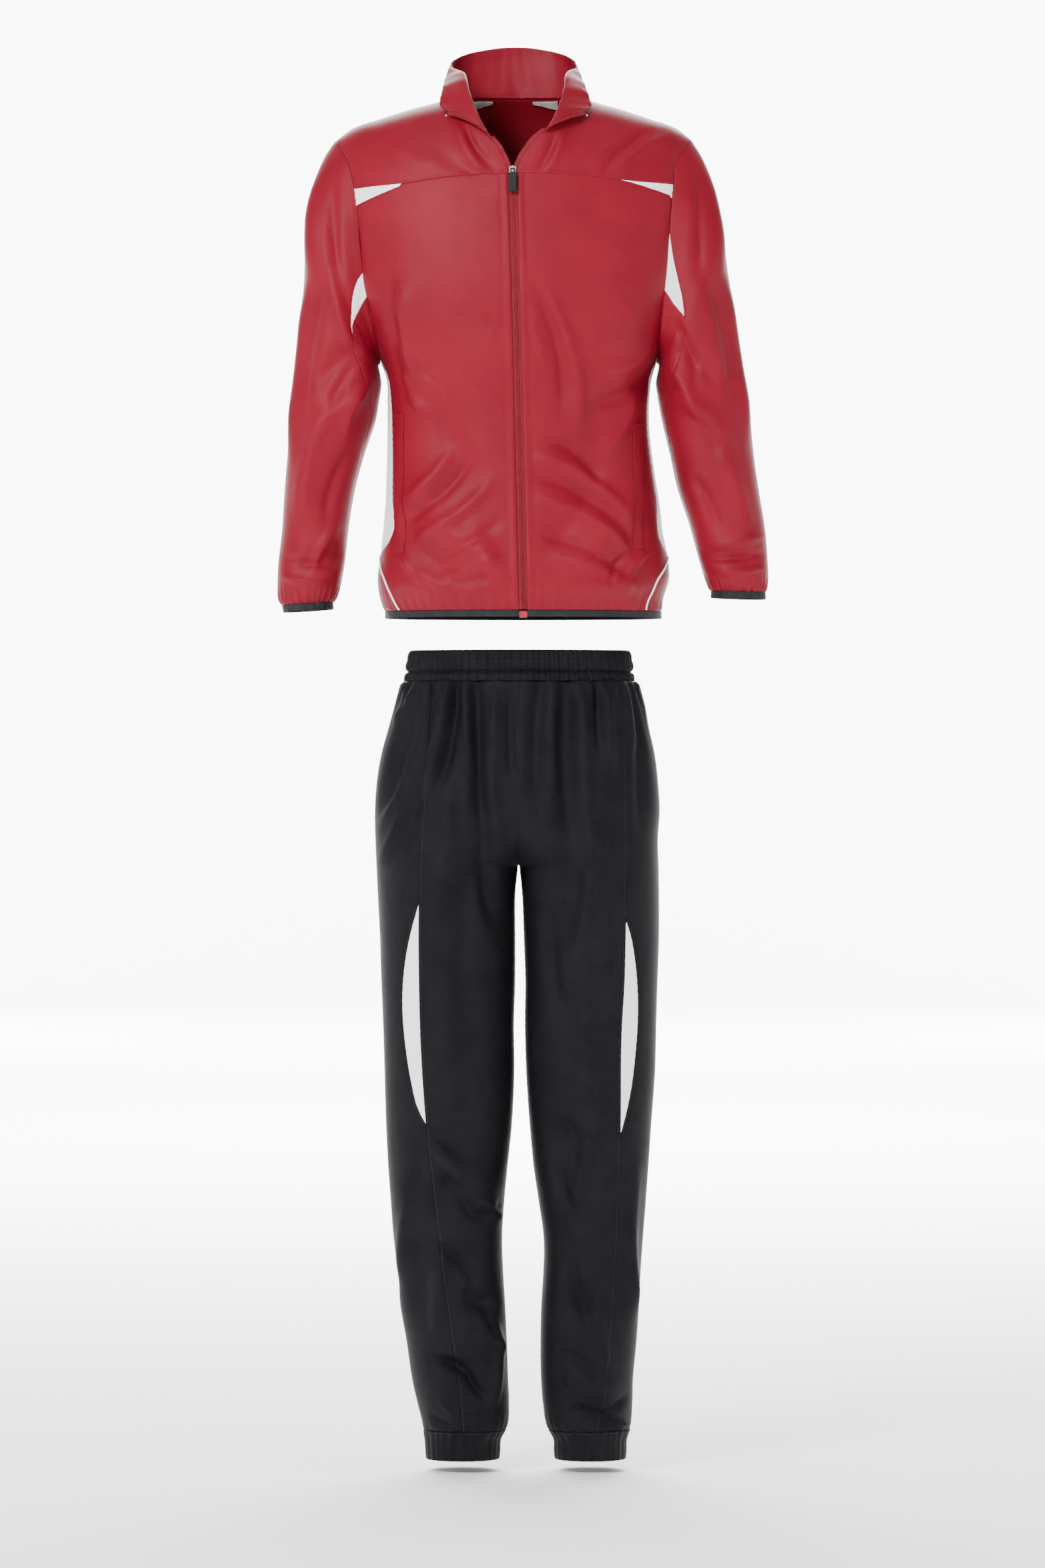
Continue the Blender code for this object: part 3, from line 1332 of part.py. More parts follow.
def make_legs():
    for side in (-1, 1):
        name = SIDE_NAME[side]
        levels = leg_levels(side)
        cut, seam, outer, held = leg_edges(side, levels)
        side_seam = np.full_like(seam, SIDE_SEAM)
        spans = {
            "front": (cut, seam),
            "side": (outer, side_seam),
            "back": (side_seam, 360 - cut),
        }
        for part, (first, last) in spans.items():
            turns = strip(first, last, LEG_COLUMNS[part])
            heights = np.repeat(levels[:, None], turns.shape[1], axis=1)
            points = leg(side, turns, heights)
            sheet(f"trouser_{part}_{name}", points, BLACK, gaps=LEG_GAPS)
        turns = strip(seam[held], outer[held], 1)
        heights = np.repeat(levels[held][:, None], turns.shape[1], axis=1)
        points = leg(side, turns, heights)
        points[0] = points[0] + (points[1] - points[0]) * CRESCENT_TIP_CUT
        points[-1] = points[-1] + (points[-2] - points[-1]) * CRESCENT_TIP_CUT
        sheet("crescent_" + name, points, WHITE, gaps=CRESCENT_GAPS)
        turns = np.linspace(0, 360, HEM_BAND_SIDES, endpoint=False)
        heights = np.array((TROUSER_HEM, HEM_BAND_MIDDLE, HEM_BAND_TOP - HEM_BAND_GAP))
        points = leg(side, *np.meshgrid(turns, heights), out=HEM_BAND_OUT)
        sheet("trouser_hem_" + name, points, BLACK, wall=HEM_BAND_WALL, ring=True)


def make_waistband():
    turns = np.linspace(0, 360, 2 * WAIST_WAVES, endpoint=False)
    grid_t, grid_z = np.meshgrid(turns, np.array(WAIST_LEVELS, float))
    sine = np.sin(np.radians(grid_t))
    cosine = np.cos(np.radians(grid_t))
    half = np.where(sine < 0, WAIST["left"](grid_z), WAIST["right"](grid_z))
    depth = np.where(cosine > 0, WAIST["front"](grid_z), WAIST["back"](grid_z))
    wave = WAIST_WAVE_HEIGHT * np.cos(WAIST_WAVES * np.radians(grid_t))
    x = (half + wave) * spread(sine)
    y = -(depth + wave) * spread(cosine)
    points = np.stack((x, y, grid_z), axis=-1)
    sheet("waistband", points, BLACK, wall=WAIST_WALL, ring=True)


def main():
    for item in list(bpy.data.objects):
        bpy.data.objects.remove(item, do_unlink=True)
    make_fronts()
    make_yokes()
    make_chest_inserts()
    make_side_panels()
    make_back()
    make_sleeves()
    make_collar()
    make_neck_inside()
    make_hem_binding()
    make_piping()
    make_pocket_welts()
    make_zip()
    make_retaining_box()
    make_slider()
    make_legs()
    make_waistband()


main()
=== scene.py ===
"""The looks of the two-piece tracksuit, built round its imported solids.

Each cloth piece is drawn again as a fine, thin shell on the form of its solid, with its folds,
gathers, seams and stitches. Tables and sizes are in millimetres and degrees, as in the part's
source, and every point is turned to metres where its mesh is made. Front faces are at -Y.
"""
import json
import math
from functools import partial

import bmesh
import bpy
import numpy as np
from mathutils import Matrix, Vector


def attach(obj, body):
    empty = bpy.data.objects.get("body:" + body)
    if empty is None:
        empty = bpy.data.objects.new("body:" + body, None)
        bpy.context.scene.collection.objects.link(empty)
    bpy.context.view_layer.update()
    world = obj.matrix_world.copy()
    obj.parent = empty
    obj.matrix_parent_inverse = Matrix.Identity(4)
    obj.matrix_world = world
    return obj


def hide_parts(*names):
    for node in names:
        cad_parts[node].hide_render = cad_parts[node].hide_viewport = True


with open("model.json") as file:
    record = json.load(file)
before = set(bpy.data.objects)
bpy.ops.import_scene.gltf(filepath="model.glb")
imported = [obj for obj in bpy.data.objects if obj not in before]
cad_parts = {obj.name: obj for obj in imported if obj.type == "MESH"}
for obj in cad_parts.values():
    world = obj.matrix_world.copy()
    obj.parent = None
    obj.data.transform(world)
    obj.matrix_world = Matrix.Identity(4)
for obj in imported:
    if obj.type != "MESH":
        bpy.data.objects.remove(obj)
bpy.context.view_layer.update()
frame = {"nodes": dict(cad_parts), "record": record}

MM = 0.001
SEAM_GAP = 0.04
WALL = 1.0
ROUNDNESS = 0.87
TINY = 1e-9
SUIT = "suit"
SLOTS = {part["node"]: part["material_slot"] for part in frame["record"]["subparts"]}

# How fine the shells are: the distance between grid lines along the body and round it.
PITCH = 4.6
TURN_PITCH = 4.0


def smooth(keys, values):
    """A smooth curve through points whose keys rise."""
    keys = np.array(keys, float)
    values = np.array(values, float)
    slopes = np.gradient(values, keys)

    def value(key):
        key = np.clip(key, keys[0], keys[-1])
        at = np.clip(np.searchsorted(keys, key) - 1, 0, len(keys) - 2)
        span = keys[at + 1] - keys[at]
        t = (key - keys[at]) / span
        start = values[at] * (1 + 2 * t) * (1 - t) ** 2 + slopes[at] * span * t * (1 - t) ** 2
        end = values[at + 1] * t * t * (3 - 2 * t) + slopes[at + 1] * span * t * t * (t - 1)
        return start + end

    return value


def filled(values, pitch):
    """A list with even steps of at most a pitch put in between its values."""
    full = [values[0]]
    for start, end in zip(values[:-1], values[1:]):
        count = max(1, round(abs(end - start) / pitch))
        full += [float(value) for value in np.linspace(start, end, count + 1)[1:]]
    full[0] = float(full[0])
    return tuple(full)


def table(columns, rows):
    """Smooth curves through a table, one for each named column, over its first column."""
    names = columns.split()
    data = np.array(sorted(rows), float)
    return {name: smooth(data[:, 0], data[:, k]) for k, name in enumerate(names) if k}


def spread(value):
    """A sine or cosine squared off a little, so that a section is fuller than an ellipse."""
    return np.sign(value) * np.abs(value) ** ROUNDNESS


def step(value):
    """Smooth step from 0 to 1."""
    value = np.clip(value, 0, 1)
    return value * value * (3 - 2 * value)


# Jacket sizes

TORSO = table("height left right front back", [
    (-684, 173, 187, 112, 108),
    (-673, 174, 188, 113, 109),
    (-657, 180, 190, 119, 115),
    (-631, 184, 198, 124, 120),
    (-604, 181, 197, 123, 119),
    (-569, 177, 190, 120, 115),
    (-534, 174, 186, 118, 112),
    (-482, 172, 178, 117, 110),
    (-429, 171, 172, 118, 111),
    (-395, 171, 172, 121, 114),
    (-368, 172, 175, 125, 117),
    (-345, 180, 182, 128, 119),
    (-307, 199, 196, 131, 122),
    (-252, 220, 211, 134, 125),
    (-187, 229, 219, 131, 126),
    (-148, 233, 221, 125, 126),
    (-117, 236, 223, 118, 125),
    (-78, 245, 228, 109, 122),
    (-54, 249, 237, 104, 120),
    (0, 252, 240, 97, 116),
    (40, 252, 240, 94, 112),
])

# Height of the shoulder ridge by the share of the way from the spine to the shoulder tip.
# Inside the neckline, at a share under 0.4, it only shapes how the front and back lean in.
RIDGE = table("share front back", [
    (0.0, 44, 46),
    (0.10, 42, 42),
    (0.155, 38, 40),
    (0.24, 24, 34),
    (0.32, 8, 21),
    (0.365, 2, 8),
    (0.403, -1, -1),
    (0.588, -13, -13),
    (0.76, -26, -26),
    (0.93, -41, -41),
    (1.0, -54, -54),
    (1.06, -64, -64),
])
SHOULDER_HALF = {-1: 238, 1: 228}
SHOULDER_ROLL = 100

# The armhole: how far its edge lies from the side of the body, as an angle, by height.
ARMHOLE_TOP = -54
ARMHOLE_LOW = -345
ARMHOLE = table("height turn", [
    (-345, 0),
    (-341, 7),
    (-330, 14),
    (-307, 21.5),
    (-280, 25),
    (-252, 26.5),
    (-187, 27.5),
    (-110, 26),
    (-78, 24.5),
    (-66, 21),
    (-54, 17),
])

# Where the armhole's nodes lie, as angles round the sleeve: 0 at the shoulder, 90 in front.
NODES_YOKE = {-1: filled((57.8, 0), TURN_PITCH), 1: filled((55, 0), TURN_PITCH)}
CHEST_INSERT_LOW = {-1: 67.6, 1: 63.3}
NODES_FRONT = {
    -1: filled((165, 116, 103, 67.6), TURN_PITCH),
    1: filled((165, 112, 82, 63.3), TURN_PITCH),
}
NODES_SIDE = filled((165, 180, 195), TURN_PITCH)
NODES_BACK = filled((195, 360), TURN_PITCH)
INSERT_NODES = {-1: (103, 116), 1: (82, 112)}

# Seams of the body: the angle of the front's outer seam and of the back's, by height.
BODY_SEAM = table("height front_left front_right back_left back_right", [
    (-684, 59.5, 60, 59.5, 60),
    (-673, 60, 60.5, 60, 60.5),
    (-650, 64.5, 63, 64.5, 63),
    (-630, 70, 66, 70, 66),
    (-615, 78, 75, 78, 75),
    (-602, 85, 84, 85, 84),
    (-583, 70, 75, 94, 92),
    (-560, 65, 74, 99, 98),
    (-530, 69, 78, 104, 103),
    (-482, 71, 79, 106, 105),
    (-429, 73, 79, 105, 104),
    (-395, 75, 80, 103, 102),
    (-364, 80, 81, 99, 99),
    (-341, 83, 83, 97, 97),
])
PANEL_TIP = -602
PANEL_TIP_HALF = 0.2
PANEL_TIP_RISE = 0.8
PANEL_TIP_ANGLE = {-1: 84.7, 1: 84.0}

YOKE_SEAM = table("distance left right", [
    (0, -105, -105),
    (60, -107, -106),
    (110, -112, -110),
    (145, -117, -114),
    (200, -121, -116),
    (240, -124, -117),
])
INSERT_SEAM = table("distance left right", [
    (120, -113, -110),
    (145, -118.5, -115.5),
    (180, -131, -125),
    (215, -145, -135),
    (240, -154, -142),
])
INSERT_TIP = {-1: 152, 1: 135}

# The neckline, from the front end of the collar seam to the side neck, as seen from in front.
NECK_FRONT = {
    -1: ((37, -57), (47, -46), (57, -35), (67, -23), (76, -13), (86, -6), (95.5, -1.5)),
    1: ((38, -48), (47, -40), (57, -31), (67, -21), (76, -12.5), (84, -6), (91.5, -1.5)),
}
NECK_BACK = ((0, 10.5), (24, 10.5), (57, 10), (76, 8), (88, 4), (95.5, -1.5))
FRONT_EDGE = {
    -1: ((-12.5, -106), (-13, -99), (-17, -88), (-25, -72), (-37, -57)),
    1: ((-1.5, -106), (-1, -97), (6, -82), (20, -62), (38, -48)),
}

ZIP_TOP = -98
ZIP_SHIFT_TOP = -7
ZIP_SHIFT_LOW = 7
HEM = -673
HEM_BINDING = 8.5
HEM_BINDING_GAP = 0.3
HEM_BINDING_CLEAR = 0.1
HEM_BINDING_ROWS = 8
HEM_BINDING_COLUMNS = 260
HEM_BINDING_WALL = 2.2
HEM_BINDING_OUT = 0.5
ZIP_HALF = 5.5

BODY_LEVELS = filled((-673, -650, -630, -615, -602, -583, -556, -515, -470, -425, -385, -350), PITCH)

# The collar's rim and roll, as control points over each place on the neckline: share 0 is the
# middle of the back and 1 the front end of the collar.
COLLAR_RISE = table("share roll_x roll_y roll_z top_x top_y top_z top_right", [
    (0.00, 0, 99, 44, 0, 96, 78, 0),
    (0.10, 24, 98, 44, 20, 95, 77, -1),
    (0.25, 62, 87, 40, 60, 84, 69, -3),
    (0.36, 81, 67, 36, 77, 62, 60, -5),
    (0.47, 82, 22, 42, 85, 24, 50, -6),
    (0.60, 48, -17, 50, 92, -12, 27, -5),
    (0.74, 42, -66, 26, 96, -40, 9, -3),
    (0.87, 38, -105, -4, 99, -56, -13, 0),
    (1.00, 42, -124, -36, 87, -76, -22, 2),
])
COLLAR_LIFT = -0.6

# Sleeves: each ring's outer and inner edge as seen from in front, its half depth and the depth
# of its middle. Ring 0 is the armhole.
SLEEVE = table("ring left_outer_x left_outer_z left_inner_x left_inner_z right_outer_x right_outer_z "
               "right_inner_x right_inner_z half middle", [
    (0, -239, -54, -180, -345, 228, -54, 182, -345, 66, 0),
    (1, -255, -79, -183, -349, 243, -79, 185, -349, 69, 0),
    (2, -268, -112, -183, -353, 256, -112, 185, -353, 73, 0),
    (3, -277, -150, -182, -358, 264, -150, 184, -358, 76, 0),
    (4, -279, -195, -181, -363, 271, -195, 183, -363, 78, -1),
    (5, -281, -245, -180, -369, 278, -245, 182, -369, 78, -2),
    (6, -287, -305, -180, -378, 287, -305, 182, -378, 77, -3),
    (7, -294, -370, -183, -398, 297, -370, 185, -398, 75, -4),
    (8, -299, -415, -188, -425, 304, -415, 190, -425, 72, -6),
    (9, -302, -465, -202, -467, 309, -465, 200, -467, 68, -8),
    (10, -306, -515, -214, -512, 316, -515, 210, -512, 64, -11),
    (11, -309, -565, -222, -560, 324, -565, 225, -558, 60, -14),
    (12, -314, -610, -227, -605, 327, -603, 236, -598, 57, -17),
    (13, -315, -640, -232, -635, 328, -626, 243, -622, 51, -19),
    (14, -313, -656, -238, -652, 326, -641, 250, -638, 44, -20),
    (15, -308, -665, -243, -661, 324, -648, 254, -646, 39, -20),
    (16, -306, -674, -244, -670, 323, -657, 255, -655, 38, -20),
])
CUFF_RING = 15
CUFF_END = 16
CUFF_ROWS = 8
CUFF_COLUMNS = 110
CUFF_WALL = 2.0
CUFF_OUT = 0.6
SLEEVE_SEAM_LIFT = 0.1
SLEEVE_RINGS = np.linspace(0, 14.97, 140)

# The white insert on the sleeve: its upper and lower edge as angles, by ring. Past its tip the
# two edges are the sleeve's own seam.
INSERT_EDGES = {
    -1: table("ring upper lower", [
        (0, 103, 116), (1, 102.5, 115.5), (2, 102, 112.6), (3, 102.5, 108), (4.5, 103.0, 103.5),
        (6, 120, 120.8), (8, 150, 150.7), (10, 168, 168.7), (15, 176, 176.7),
    ]),
    1: table("ring upper lower", [
        (0, 82, 112), (0.5, 90, 112), (1.5, 97, 111), (2.7, 99, 105.5), (3.6, 100.0, 100.6),
        (6, 120, 120.8), (8, 150, 150.7), (10, 168, 168.7), (15, 176, 176.7),
    ]),
}
INSERT_LAST = {-1: 4.5, 1: 3.6}

# Trousers sizes. Each leg's outer edge, inner edge below the crotch, and depths by height.
CROTCH = -1008
CROTCH_RISE = 135
CROTCH_CALM_HEIGHT = 130
CROTCH_CALM_WIDTH = 40
SEAT_MIDDLE = 1
# The two seats overlap by a little at the middle plane.
SEAT_CLEAR = -0.35
LEG = table("height left_outer left_inner right_outer right_inner front back", [
    (-1784, -119, -26, 140, 50, 57, 60),
    (-1775, -120, -25, 141, 49, 58, 61),
    (-1759, -121, -24, 141.5, 48.5, 60, 63),
    (-1742, -124, -15, 147, 39, 67, 72),
    (-1710, -132, -12, 150, 33, 72, 80),
    (-1686, -137.5, -13, 150.5, 31, 75, 82),
    (-1630, -146, -15, 155.5, 30, 76, 84),
    (-1575, -155, -17.5, 159, 31.5, 78, 86),
    (-1552, -156, -19, 160, 33, 79, 87),
    (-1494, -163, -21, 164, 34, 81, 89),
    (-1443, -167, -18, 168, 27, 83, 90),
    (-1402, -170, -14, 171, 21, 84, 91),
    (-1343, -173, -8, 175, 15.5, 87, 93),
    (-1273, -175, -5, 180, 11, 91, 96),
    (-1209, -177, -5.5, 181.5, 9.5, 95, 99),
    (-1161, -179, -4, 183, 10, 99, 102),
    (-1098, -181, -3.8, 185, 8, 104, 106),
    (-1040, -184, -3.6, 185, 5.6, 110, 112),
    (-1008, -185.5, -0.6, 184.5, 2.6, 113, 118),
    (-973, -187, 0, 183.5, 0, 116, 124),
    (-930, -187.5, 0, 186, 0, 117, 128),
    (-905, -186, 0, 184.5, 0, 116, 128),
    (-855, -178, 0, 178.5, 0, 113, 123),
    (-827, -170, 0, 172, 0, 110, 117),
    (-797, -161, 0, 166, 0, 105, 109),
    (-775, -154, 0, 159, 0, 101, 102),
    (-764, -150, 0, 155, 0, 98.5, 99),
])

# The front seam of each leg, and the outer edge of its crescent, as seen from in front.
LEG_SEAM = table("height left right", [
    (-1784, -72, 104),
    (-1745, -73, 106),
    (-1708, -76, 112),
    (-1590, -92, 124),
    (-1450, -109, 131),
    (-1341, -120, 134),
    (-1231, -127, 135),
    (-1147, -129, 139),
    (-1057, -129, 141),
    (-911, -125, 143),
    (-833, -118, 143),
    (-764, -114, 138),
])
CRESCENT = {
    -1: table("height edge", [
        (-1341, -120.6), (-1325, -129), (-1285, -139.5), (-1245, -146), (-1181, -150.5),
        (-1119, -145), (-1085, -137.5), (-1057, -129.6),
    ]),
    1: table("height edge", [
        (-1353, 134.6), (-1337, 139), (-1300, 147), (-1253, 153), (-1189, 156.5),
        (-1125, 152), (-1097, 147), (-1079, 141.6),
    ]),
}
CRESCENT_TIPS = {-1: (-1341, -1057), 1: (-1353, -1079)}
SIDE_SEAM = 192
LEG_TOP = -764.8
HEM_BAND_TOP = -1745

WAIST = table("height left right front back", [
    (-764.2, 148, 152, 98, 98),
    (-756, 147, 151, 97.5, 97.5),
    (-752, 143.5, 147.5, 94, 94),
    (-748, 145.5, 150, 96.5, 96.5),
    (-736, 144, 148.5, 96, 96),
    (-727, 141.5, 146.5, 94, 94),
    (-724.5, 139.5, 144.5, 92, 92),
])

SIDE_NAME = {-1: "left", 1: "right"}
INSERT_COLUMNS = 20
NECK_FRONT_STEPS = 22
NECK_BACK_STEPS = 26
RIDGE_STEPS = 32
RIDGE_GUESS = -20.0
RIDGE_ROUNDS = 12
RIDGE_DROP = 0.02
YOKE_COLUMNS = NECK_FRONT_STEPS + RIDGE_STEPS
COLLAR_MIDDLE = -3
COLLAR_SEAM_LIFT = 0.4

# Gathers and folds
HEM_GATHER = 1.3
CUFF_GATHER = 1.7
WAIST_GATHER = 3.0
PLACKET_TOP = -104
PLACKET_RIDGES = (
    # from_zip half_width height
    (9.5, 2.6, 1.5),
    (14.5, 2.0, -0.75),
)
# Millimetres of cloth for each degree round the body, a sleeve and a leg.
BODY_ARC = 2.7
SLEEVE_ARC = 0.9
LEG_ARC = 1.5
GATHER_PERIOD = 15
GATHER_FADE = 1.3
HEM_GATHER_REACH = 17
HEM_GATHER_START = 5
CUFF_GATHER_PERIOD = 12
WAIST_GATHER_REACH = 34
ANKLE_GATHER = 0.8
ANKLE_GATHER_REACH = 13
# How squarely the cloth has to face the front or back before folds reach full height there.
TORSO_TURN = 0.4
LIMB_TURN = 0.5
ZIP_CALM = 25
FOLD_STRENGTH = 1.8
ARMHOLE_BLEND = 3.5

# Seams, stitches and the flat sizes' least values
SEAM_DIP = 0.35
SEAM_DIP_REACH = 3.4
PUCKER = 0.32
PUCKER_REACH = 8.0
LEAST_FLAT = 0.0102
LEAST_SHARE = 0.31
PUCKER_PERIOD = 9.5
PUCKER_WANDER = 31
FAR = 1000.0
CLOSE_LINES = (0.0, 0.2, 0.55)
STITCH_PITCH = 3.4
STITCH_LENGTH = 2.3
STITCH_HALF = 0.28
STITCH_SIZES = (0.45, 1.0, 0.45)
STITCH_RISES = (-0.12, 0.14, -0.12)
CLOTH_STITCH_OUT = 0.55
YOKE_STITCH_RISE = 3.6
EDGE_STITCH_TURN = 3.4
PLACKET_STITCH_ENDS = (HEM + 12, -116)
PLACKET_STITCH_AWAY = 7.6
WELT_STITCH_INSET = 1.8
WELT_STITCH_END = 2
WELT_STITCH_OUT = 2.1
COLLAR_STITCH_SHARES = (-0.955, 0.955)
COLLAR_STITCH_RISE = 0.06
COLLAR_STITCH_OUT = 0.75
LEG_STITCH_TURN = 2.0
LEG_STITCH_OUT = 0.5
LEG_HEM_STITCH_DROP = 2.2
LEG_HEM_STITCH_OUT = 1.4
WAIST_STITCHES = (-753.6, -739.4)
WAIST_STITCH_OUT = 0.95

# Grids and trims of the jacket
INSERT_ROWS = 10
COLLAR_WALL = 1.4
COLLAR_WAVE = 0.25
COLLAR_LENGTH = 260
COLLAR_SHARES = np.linspace(-1, 1, 150)
COLLAR_UPS = np.linspace(0, 1, 24)
COLLAR_FOLDS = (
    # share up half_share half_up height
    (-0.62, 0.55, 0.10, 0.30, 2.0),
    (0.60, 0.50, 0.09, 0.32, 2.2),
    (-0.30, 0.35, 0.16, 0.20, -1.4),
    (0.26, 0.60, 0.18, 0.20, 1.2),
    (0.05, 0.25, 0.20, 0.14, 1.0),
    (-0.86, 0.60, 0.06, 0.30, -1.6),
    (0.84, 0.65, 0.06, 0.30, -1.6),
    (-0.12, 0.75, 0.14, 0.14, -0.9),
)
FACING_HALF = 66
FACING_DEPTH = 60
LAYER = 2.2
FACING_DROP = 2.5
FACING_END = 2
FACING_CURVE = 2.4
FACING_COLUMNS = 60
FACING_ROWS = 24
FACING_WALL = 0.9
TAPE_ENDS = {-1: (34, 62), 1: (20, 54)}
TAPE_DROP = 3
TAPE_DEPTH = (3, 11)
TAPE_LAYER = 2.1
TAPE_COLUMNS = 16
TAPE_ROWS = 5
TAPE_WALL = 0.8
PIPING_RADIUS = 1.3
PIPING_LOW = 1.5
PIPING_TOP = 1
PIPING_OUT = 1.2
PIPING_ROWS = 60
PIPING_SIDES = 10
POCKET_TOP = {-1: -415, 1: -428}
POCKET_LOW = {-1: -598, 1: -592}
POCKET_X = {-1: (-161, -149), 1: (150, 162)}
POCKET_OUT = 1.5
POCKET_ROWS = 48
POCKET_COLUMNS = 7

# Zip
TAPE_SINK = -0.9
TOOTH_PITCH = 1.7
TOOTH = (1.5, 0.55, 0.45)
TOOTH_AWAY = 1.0
TOOTH_OUT = 0.95
TEETH_LOW = 3
TEETH_TOP = 9
CHAIN_LOW = 1
CHAIN_TOP = 7
CHAIN_INSET = 0.1
CHAIN_ROWS = 130
CHAIN_COLUMNS = 9
ZIP_EDGE_WIDTH = 4.8
ZIP_EDGE_GAP = 0.1
EDGE_ROWS = 60
EDGE_COLUMNS = 6
EDGE_WALL = 0.9
EDGE_END = 2
EDGE_START_RISE = 1.5
EDGE_TURN = 3
EDGE_TOOTH_INSET = 0.9
EDGE_TOOTH_OUT = 0.6
COLLAR_EDGE_STEPS = 30
COLLAR_EDGE_STEADY = 0.8
COLLAR_EDGE_BACK = 0.94

# Grids of the trousers and the waistband
ANKLE = -1722
CROTCH_LINES = (-24, 0, 20)
LEG_PITCH = 5.0
LEG_COLUMNS = {"front": 36, "side": 20, "back": 34}
CRESCENT_COLUMNS = 12
TROUSERS_HEM = -1784
HEM_BAND_GAP = 0.4
HEM_BAND_OUT = 0.4
HEM_BAND_COLUMNS = 120
HEM_BAND_ROWS = 12
ELASTIC_WALL = 1.8
WAIST_ROWS = (-764.2, -762.5, -760, -757, -755, -753.2, -752, -750.6, -748.5, -745, -741, -737, -733,
              -730, -727.5, -725.6, -724.5)
WAIST_GROOVES = ((-752, 1.3, 1.2), (-738, 1.4, 0.9))
WAIST_COLUMNS = 720
WAIST_ARC = 2.2
WAIST_RIPPLES = ((5.4, 19, 0.75), (11.5, 37, 0.6))

# Room, lights and camera, in metres and watts
FLOOR = -1.800
ROOM_RADIUS = 26.0
ROOM_TOP = 9.0
SWEEP = 5.0
SWEEP_STEPS = 14
WORLD_LIGHT = 0.35
ROOM_SIDES = 96
GARMENT = Vector((0, 0, -0.85))
BACKDROP = Vector((0, 26.0, -0.5))
FLOOR_SPOT = Vector((0, 10.2, -1.8))
LIGHTS = (
    # name x y z width height power aim
    ("key", -2.2, -4.4, 1.8, 1.6, 1.6, 370, GARMENT),
    ("fill", 3.0, -4.8, 0.2, 2.4, 3.0, 60, GARMENT),
    ("left_strip", -2.6, -0.6, -0.7, 0.5, 2.6, 9, GARMENT),
    ("right_strip", 2.6, -0.6, -0.7, 0.5, 2.6, 12, GARMENT),
    ("top", 0.0, -0.6, 2.4, 2.2, 1.2, 28, GARMENT),
    ("backdrop_left", -6.0, 16.0, 1.0, 3.0, 6.0, 6200, BACKDROP),
    ("backdrop_right", 6.0, 16.0, 1.0, 3.0, 6.0, 6200, BACKDROP),
    ("floor", 0.0, 10.0, 4.5, 8.0, 9.0, 7000, FLOOR_SPOT),
)
PHOTO_HEIGHT = 2.060
CAMERA_AWAY = 10.0
CAMERA_X = 0.006
CAMERA_Z = -0.899
SENSOR = 36.0
CAMERA_REACH = 120

# Folds, as seen from in front or from behind: a soft ridge, or a trough where its height is
# below zero, from one point to another. Bow bends it sideways, width is its half width.
TORSO_FRONT_FOLDS = (
    # x_from z_from x_to z_to bow width height
    (-150, -250, -95, -430, 10, 26, 4.0),
    (-120, -330, -60, -520, 8, 22, -4.0),
    (-130, -500, -40, -610, 12, 16, 4.0),
    (-150, -560, -70, -640, 8, 14, -4.0),
    (-60, -560, -15, -640, 4, 14, 3.0),
    (150, -240, 100, -420, -10, 26, 4.0),
    (130, -320, 70, -520, -8, 22, -3.5),
    (150, -520, 60, -630, -10, 16, 4.0),
    (110, -480, 30, -600, -8, 16, -3.5),
    (-150, -640, -30, -650, -4, 9, 3.0),
    (160, -640, 30, -652, 4, 9, 3.0),
    # left front: drag lines from the underarm and from the pocket up to the zip
    (-165, -238, -150, -330, 5, 9, -3.2),
    (-150, -262, -128, -372, 6, 8, 2.6),
    (-158, -330, -136, -398, 6, 7, -3.6),
    (-148, -362, -120, -415, 6, 6, 3.0),
    (-137, -330, -112, -372, 3, 5, -1.6),
    (-150, -532, -86, -462, 7, 8, 3.4),
    (-147, -556, -62, -476, 8, 7, -3.6),
    (-138, -580, -36, -508, 9, 8, 3.4),
    (-112, -604, -22, -556, 7, 6, -3.0),
    (-96, -628, -20, -602, 5, 6, 3.2),
    (-88, -642, -22, -622, 3, 4, -2.4),
    (-150, -604, -118, -632, 5, 6, 3.4),
    (-140, -616, -106, -646, 4, 5, -2.8),
    (-74, -138, -14, -146, -5, 3.6, -1.3),
    (-62, -147, -16, -153, -4, 3.2, 1.2),
    (-40, -292, -18, -322, 3, 3.4, -1.5),
    (-34, -302, -16, -336, 3, 3.0, 1.4),
    (-28, -318, -15, -352, 2, 2.6, -1.2),
    # right front: long curved folds that hang from the chest and turn to the side seam
    (22, -252, 56, -420, -14, 9, -3.4),
    (34, -262, 78, -436, -16, 9, 3.4),
    (16, -300, 32, -352, -4, 4, 1.8),
    (40, -452, 112, -506, -10, 8, -3.8),
    (26, -474, 138, -548, -14, 8, 3.8),
    (22, -500, 150, -580, -14, 7, -3.6),
    (28, -528, 150, -606, -14, 7, 3.6),
    (36, -578, 146, -630, -9, 6, -3.2),
    (50, -604, 152, -646, -7, 5, 2.8),
    (176, -330, 108, -360, -10, 10, 3.2),
    (178, -352, 92, -404, -14, 9, -3.2),
    (152, -392, 104, -470, -10, 9, 2.6),
    (150, -592, 118, -640, 6, 5, -3.0),
    (166, -598, 142, -642, 5, 5, 3.0),
    # yokes
    (170, -48, 106, -104, 4, 6, -2.6),
    (184, -56, 126, -108, 4, 6, 2.4),
    (150, -52, 100, -92, 3, 4, 1.6),
    (48, -58, 26, -98, -3, 5, -2.2),
    (58, -52, 38, -104, -3, 5, 2.2),
    (-66, -48, -32, -98, 5, 5, -2.6),
    (-78, -46, -40, -104, 6, 6, 2.6),
    (-112, -66, -52, -106, 5, 6, -1.8),
    (-160, -66, -96, -96, 5, 9, 1.8),
)
